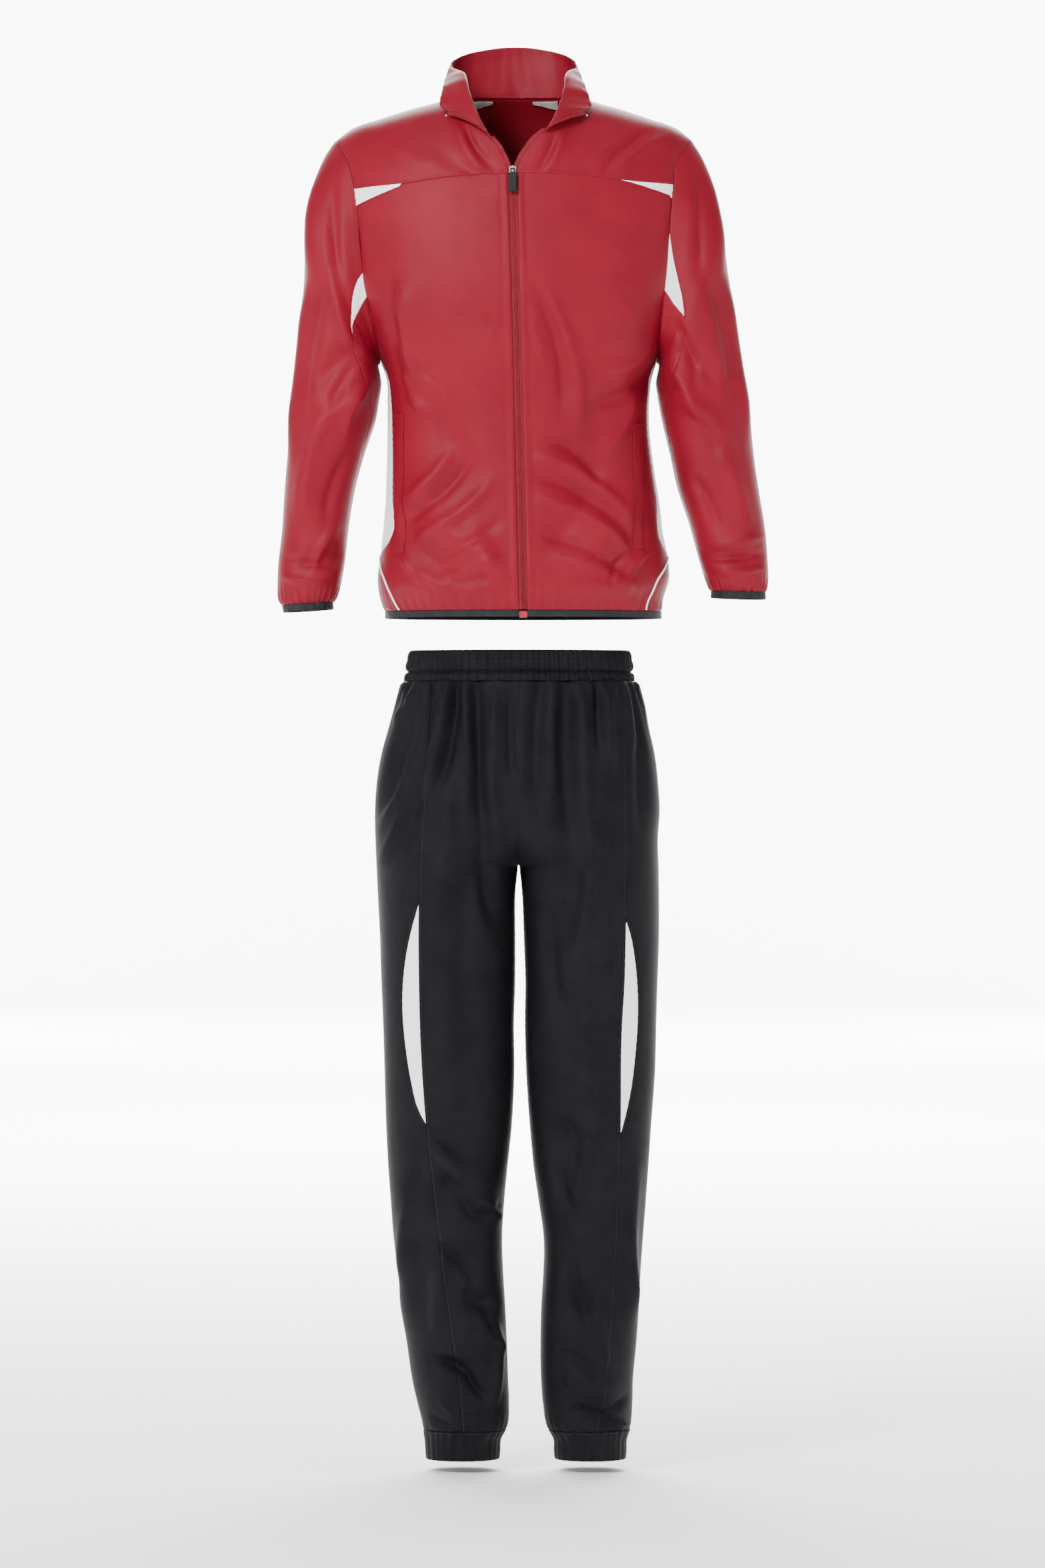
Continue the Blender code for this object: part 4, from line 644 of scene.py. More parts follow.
TORSO_BACK_FOLDS = (
    (-150, -250, -60, -420, 12, 26, 4.0),
    (140, -260, 70, -450, -10, 26, 4.0),
    (-120, -480, 20, -600, 12, 20, -4.5),
    (120, -500, -10, -620, -12, 20, -4.0),
    (-150, -620, 0, -648, 4, 12, 4.0),
    (160, -630, 20, -650, -4, 12, 3.5),
    (-190, -180, -120, -330, 10, 12, -3.4),
    (186, -170, 124, -340, -12, 12, -3.2),
    (-196, -236, -96, -372, 12, 9, 3.0),
    (188, -240, 92, -392, -12, 9, 3.0),
    (-160, -420, -40, -520, 12, 9, 3.4),
    (150, -430, 34, -540, -12, 9, 3.2),
    (-156, -520, -20, -590, 12, 7, -3.2),
    (162, -534, 30, -606, -12, 7, -3.4),
    (-120, -596, 10, -636, 7, 6, 3.2),
    (130, -606, 6, -640, -7, 6, 2.8),
    (-60, -60, -150, -110, -6, 8, 2.0),
    (60, -60, 150, -112, 6, 8, 2.0),
    (-12, -130, -18, -300, 5, 12, -2.0),
)
LEG_FRONT_FOLDS = (
    (-80, -766, -103, -900, -4, 9, -7.0),
    (-52, -766, -45, -960, 4, 10, -7.5),
    (-45, -960, -28, -1085, 4, 13, -6.0),
    (-92, -766, -128, -935, -6, 9, 5.0),
    (-10, -766, -8, -900, 2, 7, -5.0),
    (26, -766, 22, -960, 2, 11, -6.0),
    (62, -766, 70, -990, 4, 14, -7.0),
    (70, -990, 55, -1120, -4, 16, -5.0),
    (118, -766, 122, -880, 2, 9, 5.0),
    (-140, -800, -183, -940, -8, 12, -5.0),
    (-125, -900, -180, -1010, -8, 12, -4.0),
    (-110, -1380, -30, -1470, -16, 16, 5.0),
    (-120, -1470, -130, -1600, 4, 16, -6.0),
    (-70, -1560, -30, -1580, 4, 14, -6.0),
    (-110, -1640, -40, -1700, -8, 12, -5.0),
    (60, -1340, 80, -1400, 4, 18, -4.0),
    (152, -1400, 147, -1600, 4, 9, 4.0),
    (60, -1560, 115, -1570, 4, 22, -5.0),
    (70, -1716, 132, -1742, -6, 8, -5.0),
    (60, -1690, 130, -1690, -6, 10, 4.0),
    # left leg: gathers under the waist, thigh, knee and ankle
    (-66, -766, -60, -880, 3, 6, 4.0),
    (-28, -768, -30, -860, 2, 5, 3.4),
    (-36, -860, -14, -990, 6, 9, 5.0),
    (-112, -768, -122, -860, -3, 5, -3.6),
    (-136, -778, -166, -818, -4, 6, 3.6),
    (-136, -846, -178, -950, -6, 7, 4.0),
    (-146, -912, -182, -1000, -6, 6, 3.6),
    (-92, -900, -112, -1110, -8, 12, 4.0),
    (-60, -1000, -70, -1190, 6, 14, -4.0),
    (-92, -1160, -86, -1320, 5, 14, 4.0),
    (-116, -1362, -74, -1434, -8, 8, 4.6),
    (-74, -1434, -24, -1470, -6, 7, 4.6),
    (-98, -1404, -62, -1462, -6, 8, -5.0),
    (-62, -1462, -24, -1448, 4, 6, -4.4),
    (-112, -1494, -52, -1552, -6, 7, -4.4),
    (-128, -1388, -140, -1502, 5, 8, -4.2),
    (-136, -1430, -152, -1560, 4, 9, 4.2),
    (-96, -1520, -106, -1620, 4, 8, 3.6),
    (-52, -1590, -22, -1640, 6, 8, 4.4),
    (-30, -1604, -34, -1716, -5, 6, 4.2),
    (-104, -1652, -66, -1666, -3, 6, -4.6),
    (-66, -1666, -36, -1700, 4, 6, -4.6),
    (-108, -1640, -62, -1650, -4, 5, 3.8),
    (-66, -1722, -30, -1714, 3, 4, -3.4),
    (-112, -1724, -84, -1738, 3, 4, -3.6),
    (-100, -1700, -70, -1728, 4, 5, 3.2),
    # right leg
    (44, -768, 46, -900, 2, 6, 4.4),
    (84, -768, 92, -960, 3, 8, 5.2),
    (96, -960, 82, -1100, -5, 10, 4.6),
    (104, -768, 108, -860, 2, 5, -4.0),
    (134, -770, 150, -860, -3, 6, 3.8),
    (152, -780, 160, -960, -4, 7, -3.4),
    (14, -960, 30, -1060, 6, 8, 4.6),
    (40, -1060, 58, -1200, 6, 11, -4.4),
    (120, -1000, 124, -1180, 5, 12, 3.6),
    (92, -1180, 98, -1330, 6, 12, 3.4),
    (60, -1330, 88, -1368, 5, 8, -4.4),
    (88, -1368, 72, -1440, -5, 8, 4.2),
    (54, -1400, 76, -1462, 6, 8, -4.2),
    (112, -1420, 104, -1520, 5, 10, 3.6),
    (140, -1470, 152, -1590, 4, 8, 4.2),
    (70, -1520, 96, -1606, 6, 9, -4.2),
    (104, -1560, 118, -1660, 5, 8, 4.2),
    (56, -1640, 106, -1672, -5, 7, -4.2),
    (72, -1700, 138, -1724, -6, 6, 4.0),
    (64, -1668, 96, -1700, 4, 6, 3.6),
    (100, -1716, 142, -1700, 4, 4, -3.4),
    (120, -1722, 146, -1738, 3, 4, 3.0),
)
LEG_BACK_FOLDS = (
    (-120, -766, -130, -880, -4, 11, -5.0),
    (-70, -766, -72, -900, 2, 12, -6.0),
    (-25, -766, -22, -860, 2, 10, -4.5),
    (30, -766, 28, -870, 2, 10, -4.5),
    (80, -766, 84, -900, -2, 12, -6.0),
    (128, -766, 136, -880, 4, 11, -5.0),
    (-40, -1010, -140, -1050, 10, 14, -5.0),
    (40, -1010, 140, -1050, -10, 14, -5.0),
    (-140, -1350, -40, -1400, -10, 18, -5.0),
    (150, -1360, 50, -1410, 10, 18, -5.0),
    (-130, -1600, -40, -1650, -8, 16, -5.0),
    (140, -1600, 50, -1660, 8, 16, -5.0),
    (-110, -1700, -40, -1722, -4, 10, 4.0),
    (130, -1700, 60, -1722, 4, 10, 4.0),
    (-96, -768, -100, -860, 2, 6, 4.0),
    (-48, -768, -46, -850, 2, 6, 3.6),
    (54, -768, 56, -860, 2, 6, 3.8),
    (104, -768, 112, -860, 2, 6, 4.0),
    (-30, -990, -120, -1024, 8, 9, 4.4),
    (30, -990, 122, -1028, -8, 9, 4.2),
    (-60, -1120, -80, -1300, 6, 14, -3.4),
    (80, -1130, 96, -1310, -6, 14, -3.4),
    (-144, -1382, -44, -1420, -8, 9, 4.6),
    (150, -1392, 56, -1432, 8, 9, 4.6),
    (-130, -1440, -60, -1480, -8, 8, -3.8),
    (140, -1450, 66, -1490, 8, 8, -3.8),
    (-120, -1640, -40, -1676, -7, 7, 4.2),
    (138, -1646, 56, -1684, 7, 7, 4.2),
)
SLEEVE_FRONT_FOLDS = (
    (-205, -330, -262, -380, 6, 13, -4.5),
    (-200, -390, -270, -450, 8, 14, 4.0),
    (-225, -600, -300, -625, 4, 12, -3.5),
    (205, -330, 262, -380, -6, 13, -4.5),
    (205, -390, 275, -460, -8, 14, 4.0),
    (240, -595, 315, -615, -4, 12, -3.5),
    # left sleeve: long folds down from the shoulder, crossed by creases at the elbow and cuff
    (-262, -68, -268, -240, 6, 9, 3.4),
    (-238, -84, -232, -250, 5, 8, -3.4),
    (-252, -230, -282, -420, 8, 10, -3.6),
    (-276, -260, -296, -470, 5, 8, 3.6),
    (-236, -262, -216, -330, 4, 7, 3.2),
    (-212, -352, -242, -412, 5, 6, -3.4),
    (-196, -372, -226, -446, 6, 7, 3.2),
    (-262, -440, -284, -560, 6, 10, 3.2),
    (-222, -470, -252, -560, 6, 9, -3.2),
    (-236, -560, -266, -620, 4, 6, 3.0),
    (-240, -612, -306, -604, -4, 5, -2.8),
    (-252, -636, -308, -626, -4, 4, 2.6),
    # right sleeve
    (250, -70, 262, -230, -6, 9, 3.4),
    (232, -92, 236, -240, -4, 8, -3.4),
    (250, -240, 282, -400, -8, 10, -3.6),
    (276, -250, 300, -440, -5, 8, 3.6),
    (206, -300, 232, -378, -6, 6, -3.2),
    (200, -356, 236, -430, -6, 7, 3.4),
    (226, -420, 262, -470, -6, 6, -3.0),
    (262, -460, 298, -580, -6, 10, 3.2),
    (230, -500, 262, -570, -5, 8, -3.0),
    (246, -588, 322, -572, 5, 5, 3.0),
    (250, -606, 324, -596, 4, 4, -2.8),
    (262, -622, 322, -616, 3, 4, 2.4),
)
SLEEVE_BACK_FOLDS = (
    (-205, -340, -275, -390, 6, 14, -4.5),
    (-205, -430, -290, -500, 8, 16, 4.0),
    (205, -340, 275, -390, -6, 14, -4.5),
    (205, -430, 295, -500, -8, 16, 4.0),
    (-256, -80, -262, -250, 6, 9, 3.2),
    (-228, -120, -236, -280, 5, 8, -3.2),
    (-200, -384, -282, -440, 7, 8, 3.4),
    (-216, -500, -296, -560, 7, 8, -3.4),
    (-236, -610, -306, -600, -4, 5, 2.8),
    (246, -80, 260, -250, -6, 9, 3.2),
    (222, -120, 234, -280, -5, 8, -3.2),
    (202, -380, 286, -440, -7, 8, 3.4),
    (220, -500, 302, -560, -7, 8, -3.4),
    (250, -600, 320, -590, 4, 5, 2.8),
)


def ripple(along, period, wander):
    """An uneven row of gathers, between -1 and 1."""
    drift = 1.7 * np.sin(along / wander) + 0.8 * np.sin(along / (0.37 * wander) + 1)
    return np.sin(2 * np.pi * along / period + drift)


def body_gathers(angle, height):
    """Cloth blousing over the hem's elastic, strongest at the hem."""
    around = np.asarray(angle, float) * BODY_ARC
    above = np.clip(height - HEM, 0, None)
    near = np.exp(-(above / HEM_GATHER_REACH) ** GATHER_FADE) * step(above / HEM_GATHER_START)
    return HEM_GATHER * near * ripple(around, GATHER_PERIOD, 41)


def placket(x, height, facing):
    """The folded edge of the front beside the zip."""
    away = np.abs(x - zip_x(height))
    lift = sum(high * np.exp(-((away - at) / half) ** 2) for at, half, high in PLACKET_RIDGES)
    below_yoke = step((PLACKET_TOP - height) / 4) * step((height - HEM) / 6)
    return lift * step(facing / TORSO_TURN) * below_yoke


def cuff_gathers(turn, ring):
    """Gathers over the cuff's elastic, from ring 12.6 down to the cuff."""
    around = np.asarray(turn, float) * SLEEVE_ARC
    near = step((ring - 12.6) / 1.6) * (1 - 0.7 * step((ring - 14.6) / 0.4))
    return CUFF_GATHER * near * ripple(around, CUFF_GATHER_PERIOD, 23)


def leg_gathers(turn, height):
    """Gathers hanging from the waistband, and those drawn in by the hem band."""
    around = np.asarray(turn, float) * LEG_ARC
    below = np.clip(LEG_TOP - height, 0, None)
    at_waist = np.exp(-(below / WAIST_GATHER_REACH) ** 1.2) * step((below + 2) / 8)
    above = np.clip(height - HEM_BAND_TOP, 0, None)
    at_hem = np.exp(-(above / ANKLE_GATHER_REACH) ** GATHER_FADE)
    from_waist = WAIST_GATHER * at_waist * ripple(around, GATHER_PERIOD, 29)
    return from_waist + ANKLE_GATHER * at_hem * ripple(around * 0.8, 17, 23)


def fold_height(x, z, folds):
    """How far the folds lift the cloth at a place seen from in front or behind."""
    lift = np.zeros(np.broadcast(x, z).shape)
    for x_from, z_from, x_to, z_to, bow, width, height in folds:
        run = np.array((x_to - x_from, z_to - z_from), float)
        length = np.hypot(*run)
        run /= length
        along = ((x - x_from) * run[0] + (z - z_from) * run[1]) / length
        across = (x - x_from) * run[1] - (z - z_from) * run[0]
        bend = bow * 4 * np.clip(along, 0, 1) * (1 - np.clip(along, 0, 1))
        ends = step((along + 0.15) / 0.35) * step((1.15 - along) / 0.45)
        lift = lift + height * ends * np.exp(-((across - bend) / width) ** 2)
    return lift * FOLD_STRENGTH


def unit(vectors):
    """Vectors brought to length 1."""
    return vectors / np.maximum(np.linalg.norm(vectors, axis=-1, keepdims=True), TINY)


def walked(points, axis):
    """Distance along the grid's lines from their first point."""
    steps = np.linalg.norm(np.diff(points, axis=axis), axis=-1)
    start = np.zeros_like(np.take(steps, [0], axis=axis))
    return np.concatenate((start, np.cumsum(steps, axis=axis)), axis=axis)


def read_off(at, length, points):
    """The places on a line of points at other distances along it."""
    return np.stack([np.interp(at, length, column) for column in points.T], axis=-1)


def outward(surface, first, second, first_step, second_step):
    """Unit normals of a surface by small steps, as the cross product of its two directions."""
    along = surface(first + first_step, second) - surface(first - first_step, second)
    up = surface(first, second + second_step) - surface(first, second - second_step)
    return unit(np.cross(along, up))


# Jacket surfaces

def torso_plain(angle, height):
    """A point of the jacket's body without its folds. Its angle is 0 in front, 90 at the right."""
    sine = np.sin(np.radians(angle))
    cosine = np.cos(np.radians(angle))
    left = sine < 0
    in_front = cosine > 0
    half = np.where(left, TORSO["left"](height), TORSO["right"](height))
    x = half * spread(sine)
    ring = np.where(in_front, TORSO["front"](height), TORSO["back"](height)) * np.abs(spread(cosine))
    share = np.abs(x) / np.where(left, SHOULDER_HALF[-1], SHOULDER_HALF[1])
    ridge = np.where(in_front, RIDGE["front"](share), RIDGE["back"](share))
    down = np.clip((ridge - height) / SHOULDER_ROLL, 0, 1)
    lean = np.sqrt(1 - (1 - down) ** 2)
    half_gap = SEAM_GAP / 2
    y = np.where(in_front, -1, 1) * (half_gap + (ring - half_gap) * lean)
    return np.stack(np.broadcast_arrays(x, y, height * np.ones_like(x)), axis=-1)


def torso_normal(angle, height):
    return outward(torso_plain, angle, height, 0.5, 1.0)


def torso(angle, height, out=0.0):
    """A point of the jacket's body, moved out from its cloth by a distance."""
    out = np.asarray(out, float)
    plain = torso_plain(angle, height)
    x, z = plain[..., 0], plain[..., 2]
    facing = np.cos(np.radians(angle))
    front = fold_height(x, z, TORSO_FRONT_FOLDS) * step(facing / TORSO_TURN)
    back = fold_height(x, z, TORSO_BACK_FOLDS) * step(-facing / TORSO_TURN)
    from_zip = step((np.abs(x - zip_x(z)) - ZIP_HALF) / ZIP_CALM)
    lift = front * from_zip + back + body_gathers(angle, z) + placket(x, z, facing)
    return plain + torso_normal(angle, height) * (lift + out)[..., None]


def zip_x(height):
    """Where the middle of the zip lies at a height."""
    along = (ZIP_TOP - height) / (ZIP_TOP - HEM)
    return ZIP_SHIFT_TOP + (ZIP_SHIFT_LOW - ZIP_SHIFT_TOP) * np.clip(along, 0, 1.02)


def angle_at(x, height):
    """The angle of the front of the body that lies at x as seen from in front."""
    x = np.asarray(x, float)
    half = np.where(x < 0, TORSO["left"](height), TORSO["right"](height))
    sine = np.clip(np.abs(x) / half, 0, 1) ** (1 / ROUNDNESS)
    return np.sign(x) * np.degrees(np.arcsin(sine))


def armhole_node(side, turn):
    """Angle and height of the armhole's edge at an angle round the sleeve."""
    turn = np.asarray(turn, float)
    height = ARMHOLE_LOW + (ARMHOLE_TOP - ARMHOLE_LOW) * (1 + np.cos(np.radians(turn))) / 2
    away = ARMHOLE["turn"](height)
    angle = np.where(turn < 180, 90 - away, 90 + away)
    return side * angle, height


def armhole_nodes(side, turns):
    """The armhole's edge at several angles round the sleeve."""
    return [tuple(map(float, armhole_node(side, turn))) for turn in turns]


def armhole(side, turn):
    """The sleeve's edge at the armhole. Low down it lies outside the body's wall."""
    angle, height = armhole_node(side, turn)
    from_top = np.minimum(turn, 360 - turn)
    return torso(angle, height, out=SLEEVE_SEAM_LIFT * step((from_top - 45) / 30))


def sleeve_plain(side, ring, turn):
    """A point of a sleeve without its folds, not yet joined to the armhole."""
    name = SIDE_NAME[side]
    outer = np.stack((SLEEVE[name + "_outer_x"](ring), SLEEVE[name + "_outer_z"](ring)), axis=-1)
    inner = np.stack((SLEEVE[name + "_inner_x"](ring), SLEEVE[name + "_inner_z"](ring)), axis=-1)
    middle = (outer + inner) / 2
    reach = (outer - inner) / 2
    cosine = spread(np.cos(np.radians(turn)))
    sine = spread(np.sin(np.radians(turn)))
    x = middle[..., 0] + reach[..., 0] * cosine
    z = middle[..., 1] + reach[..., 1] * cosine
    y = SLEEVE["middle"](ring) - SLEEVE["half"](ring) * sine
    return np.stack(np.broadcast_arrays(x, y, z), axis=-1)


def sleeve_joined(side, ring, turn):
    """A point of a sleeve, drawn in to the armhole over its first rings."""
    turn = turn % 360
    fade = 1 - step(ring / ARMHOLE_BLEND)
    fix = armhole(side, turn) - sleeve_plain(side, np.zeros_like(turn), turn)
    return sleeve_plain(side, ring, turn) + fix * fade[..., None]


def sleeve(side, ring, turn, out=0.0):
    """A point of a sleeve. Its angle is 0 on the outer side, 90 in front and 180 at the body."""
    ring, turn = np.broadcast_arrays(np.asarray(ring, float), np.asarray(turn, float))
    ring = np.maximum(ring, 0.02)
    point = sleeve_joined(side, ring, turn)
    normal = side * outward(lambda a, b: sleeve_joined(side, b, a), turn, ring, 1.0, 0.02)
    x, z = point[..., 0], point[..., 2]
    facing = np.sin(np.radians(turn))
    front = fold_height(x, z, SLEEVE_FRONT_FOLDS) * step(facing / LIMB_TURN)
    back = fold_height(x, z, SLEEVE_BACK_FOLDS) * step(-facing / LIMB_TURN)
    clear = step((ring - 0.3) / 2)
    lift = (front + back) * clear + cuff_gathers(turn, ring)
    return point + normal * (lift + out)[..., None]


# Trousers surfaces

def seat_cut(height):
    """How far round a leg its inner edge is cut by the middle plane, above the crotch."""
    up = np.clip((height - CROTCH) / CROTCH_RISE, 0, 1)
    return 90 * np.sqrt(1 - (1 - up) ** 2)


def leg_inner(side, height):
    """The inner edge of a leg: below the crotch from its table, above it the middle plane."""
    return np.where(height > CROTCH, SEAT_MIDDLE + side * SEAT_CLEAR, LEG[SIDE_NAME[side] + "_inner"](height))


def leg_middle(side, height):
    """The middle and half width of a leg's section at each height."""
    inner = leg_inner(side, height)
    cut = np.where(height > CROTCH, spread(np.cos(np.radians(seat_cut(height)))), 1.0)
    half = np.abs(LEG[SIDE_NAME[side] + "_outer"](height) - inner) / (1 + cut)
    return inner + side * half * cut, half


def leg_plain(side, turn, height):
    """A point of a leg without its folds."""
    middle, half = leg_middle(side, height)
    x = middle - side * half * spread(np.cos(np.radians(turn)))
    sine = np.sin(np.radians(turn))
    depth = np.where(sine > 0, LEG["front"](height), LEG["back"](height))
    y = -depth * spread(sine)
    return np.stack(np.broadcast_arrays(x, y, height * np.ones_like(x)), axis=-1)


def leg(side, turn, height, out=0.0):
    """A point of a leg. Its angle is 0 at the inseam, 90 in front and 180 on the outer side."""
    turn, height = np.broadcast_arrays(np.asarray(turn, float), np.asarray(height, float))
    point = leg_plain(side, turn, height)
    normal = side * outward(lambda a, b: leg_plain(side, a, b), turn, height, 0.5, 1.0)
    x, z = point[..., 0], point[..., 2]
    facing = np.sin(np.radians(turn))
    front = fold_height(x, z, LEG_FRONT_FOLDS) * step(facing / LIMB_TURN)
    back = fold_height(x, z, LEG_BACK_FOLDS) * step(-facing / LIMB_TURN)
    near_crotch = step((CROTCH_CALM_HEIGHT - np.abs(height - CROTCH)) / 60)
    near_middle = step((CROTCH_CALM_WIDTH - np.abs(x - SEAT_MIDDLE)) / 30)
    lift = (front + back) * (1 - near_crotch * near_middle) + leg_gathers(turn, z)
    return point + normal * (lift + out)[..., None]


def leg_angle(side, x, height):
    """The angle of the front of a leg that lies at x as seen from in front."""
    middle, half = leg_middle(side, height)
    share = np.clip((middle - x) * side / half, -1, 1)
    cosine = np.sign(share) * np.abs(share) ** (1 / ROUNDNESS)
    return np.degrees(np.arccos(cosine))


def coons(bottom, top, first, last):
    """A grid over four edges given as lists of surface coordinates."""
    bottom, top = np.array(bottom, float), np.array(top, float)
    first, last = np.array(first, float), np.array(last, float)
    u = np.linspace(0, 1, len(bottom))[None, :, None]
    v = np.linspace(0, 1, len(first))[:, None, None]
    across = (1 - u) * first[:, None] + u * last[:, None]
    up = (1 - v) * bottom[None] + v * top[None]
    low = (1 - u) * bottom[0] + u * bottom[-1]
    high = (1 - u) * top[0] + u * top[-1]
    return across + up - (1 - v) * low - v * high


def share_out(points, count, surface):
    """Equal steps in space along a list of surface coordinates, joined by straight runs."""
    points = np.array(points, float)
    fine = np.concatenate([
        np.linspace(points[k], points[k + 1], 24, endpoint=False) for k in range(len(points) - 1)
    ] + [points[-1:]])
    placed = surface(fine[:, 0], fine[:, 1])
    reached = walked(placed, 0)
    return read_off(np.linspace(0, reached[-1], count), reached, fine)


def yoke_seam_edge(side, low):
    """The yoke seam from the zip to the armhole, along the insert's lower or upper edge."""
    seam = YOKE_SEAM[SIDE_NAME[side]]
    start = zip_x(seam(0)) + side * ZIP_HALF
    tip = side * INSERT_TIP[side]
    inner = np.linspace(start, tip, YOKE_COLUMNS - INSERT_COLUMNS + 1)
    turn = CHEST_INSERT_LOW[side] if low else NODES_YOKE[side][0]
    end_angle, end_height = armhole_node(side, turn)
    end = torso_plain(end_angle, end_height)[0]
    outer = np.linspace(tip, end, INSERT_COLUMNS + 1)[1:]
    heights = list(seam(np.abs(inner)))
    part = INSERT_SEAM[SIDE_NAME[side]] if low else seam
    outer_heights = part(np.abs(outer))
    outer_heights[-1] = end_height
    if low:
        heights[-1] -= 0.5
    xs = np.concatenate((inner, outer))
    zs = np.array(heights + list(outer_heights))
    angles = angle_at(xs, zs)
    angles[-1] = end_angle
    return np.stack((angles, zs), axis=-1)


def body_levels_seam(side, column, levels):
    """A seam of the body as angles and heights."""
    return [(side * float(BODY_SEAM[column](level)), level) for level in levels]


def yoke_inner_nodes(side):
    """The zip edge of the yoke, from the yoke seam up to the collar."""
    edge = [(float(angle_at(x, z)), z) for x, z in FRONT_EDGE[side]]
    inner = share_out(edge, len(NODES_YOKE[side]), torso_plain)
    inner[0] = yoke_seam_edge(side, False)[0]
    return inner


def neck_front_nodes(side):
    """The neckline from the front end of the collar to the side neck."""
    neck = [(float(angle_at(side * x, z)), z) for x, z in NECK_FRONT[side]]
    return share_out(neck, NECK_FRONT_STEPS + 1, torso_plain)


def neck_back_nodes(side):
    """The neckline from the middle of the back to the side neck."""
    reach = NECK_FRONT[side][-1][0] / NECK_BACK[-1][0]
    neck = [(180 - float(angle_at(side * x * reach, z)), z) for x, z in NECK_BACK]
    return share_out(neck, NECK_BACK_STEPS + 1, torso_plain)


def ridge_nodes(side):
    """The shoulder ridge from the side neck to the shoulder tip, as angles of the front."""
    start_x, start_z = NECK_FRONT[side][-1]
    start = float(angle_at(side * start_x, start_z))
    end = float(armhole_node(side, 0)[0])
    angles = start + (end - start) * np.linspace(0, 1, RIDGE_STEPS + 1)
    heights = ridge_height(angles)
    heights[0] = start_z
    heights[-1] = ARMHOLE_TOP
    return np.stack((angles, heights), axis=-1)


def ridge_height(angle):
    """The height of the shoulder ridge at an angle, found by closing in on it."""
    height = np.full(np.shape(angle), RIDGE_GUESS)
    for _ in range(RIDGE_ROUNDS):
        x = torso_plain(angle, height)[..., 0]
        share = np.abs(x) / np.where(x < 0, SHOULDER_HALF[-1], SHOULDER_HALF[1])
        height = RIDGE["front"](share)
    return height - RIDGE_DROP


def neck_line(side):
    """The neckline's nodes in space, with how far each lies from the back's middle to the front."""
    nodes = np.concatenate((neck_back_nodes(side), neck_front_nodes(side)[::-1][1:]))
    placed = torso_plain(nodes[:, 0], nodes[:, 1])
    normals = torso_normal(nodes[:, 0], nodes[:, 1] - 1.5)
    length = walked(placed, 0)
    share = length / length[-1]
    lift = COLLAR_SEAM_LIFT * step((share - 0.55) / 0.25)
    return share, placed + normals * lift[:, None]


def neck_base(share):
    """The neckline under the collar: share 0 at the middle of the back, 1 or -1 at the front."""
    lines = {side: neck_line(side) for side in (-1, 1)}
    points = []
    for value in share:
        at, placed = lines[1 if value >= 0 else -1]
        points.append(read_off(abs(value), at, placed))
    return np.array(points)


def collar(share, up):
    """A point of the collar, from its seam at 0 up to its rim at 1."""
    share, up = np.broadcast_arrays(np.asarray(share, float), np.asarray(up, float))
    flat = share.reshape(-1)
    side = np.where(flat < 0, -1, 1)
    away = np.abs(flat)
    base = neck_base(flat) + (0, 0, COLLAR_LIFT)
    shift = np.where(flat < 0, 0, COLLAR_RISE["top_right"](away))
    roll = np.stack((COLLAR_MIDDLE + side * COLLAR_RISE["roll_x"](away),
                     COLLAR_RISE["roll_y"](away), COLLAR_RISE["roll_z"](away)), axis=-1)
    top = np.stack((COLLAR_MIDDLE + side * (COLLAR_RISE["top_x"](away) + shift),
                    COLLAR_RISE["top_y"](away), COLLAR_RISE["top_z"](away)), axis=-1)
    t = up.reshape(-1, 1)
    points = base * (1 - t) ** 2 + roll * 2 * t * (1 - t) + top * t * t
    return points.reshape(*share.shape, 3)


# Materials

def node(tree, kind, x, y, **inputs):
    """A shader node with some of its values set."""
    made = tree.nodes.new(kind)
    made.location = (x, y)
    for name, value in inputs.items():
        made.inputs[name.replace("_", " ")].default_value = value
    return made


def base_material(name, rough, metal=0.0, specular=0.5, sheen=0.0, sheen_rough=0.4):
    """A material with its plain values set, its node tree and its shader."""
    material = bpy.data.materials.new(name)
    material.use_nodes = True
    tree = material.node_tree
    shader = tree.nodes["Principled BSDF"]
    shader.inputs["Roughness"].default_value = rough
    shader.inputs["Metallic"].default_value = metal
    shader.inputs["Specular IOR Level"].default_value = specular
    shader.inputs["Sheen Weight"].default_value = sheen
    shader.inputs["Sheen Roughness"].default_value = sheen_rough
    return material, tree, shader


def object_place(tree):
    """Object coordinates in metres."""
    return node(tree, "ShaderNodeTexCoord", -1300, 0).outputs["Object"]


def shade(tree, shader, colour, darker, scale, place, low=0.35, high=0.65):
    """A colour that drifts between two near shades over the surface."""
    drift = node(tree, "ShaderNodeTexNoise", -800, 200, Scale=scale, Detail=4.0, Roughness=0.55)
    ramp = node(tree, "ShaderNodeValToRGB", -560, 200)
    ramp.color_ramp.elements[0].position = low
    ramp.color_ramp.elements[1].position = high
    ramp.color_ramp.elements[0].color = (*darker, 1)
    ramp.color_ramp.elements[1].color = (*colour, 1)
    tree.links.new(place, drift.inputs["Vector"])
    tree.links.new(drift.outputs["Fac"], ramp.inputs["Fac"])
    tree.links.new(ramp.outputs["Color"], shader.inputs["Base Color"])
    return drift


def relief(tree, shader, layers):
    """Bump nodes in a chain, each with a height, a strength and a distance in metres."""
    before = None
    for at, (height, strength, distance) in enumerate(layers):
        bump = node(tree, "ShaderNodeBump", -300 + 160 * at, -400, Strength=strength, Distance=distance)
        tree.links.new(height, bump.inputs["Height"])
        if before is not None:
            tree.links.new(before, bump.inputs["Normal"])
        before = bump.outputs["Normal"]
    tree.links.new(before, shader.inputs["Normal"])


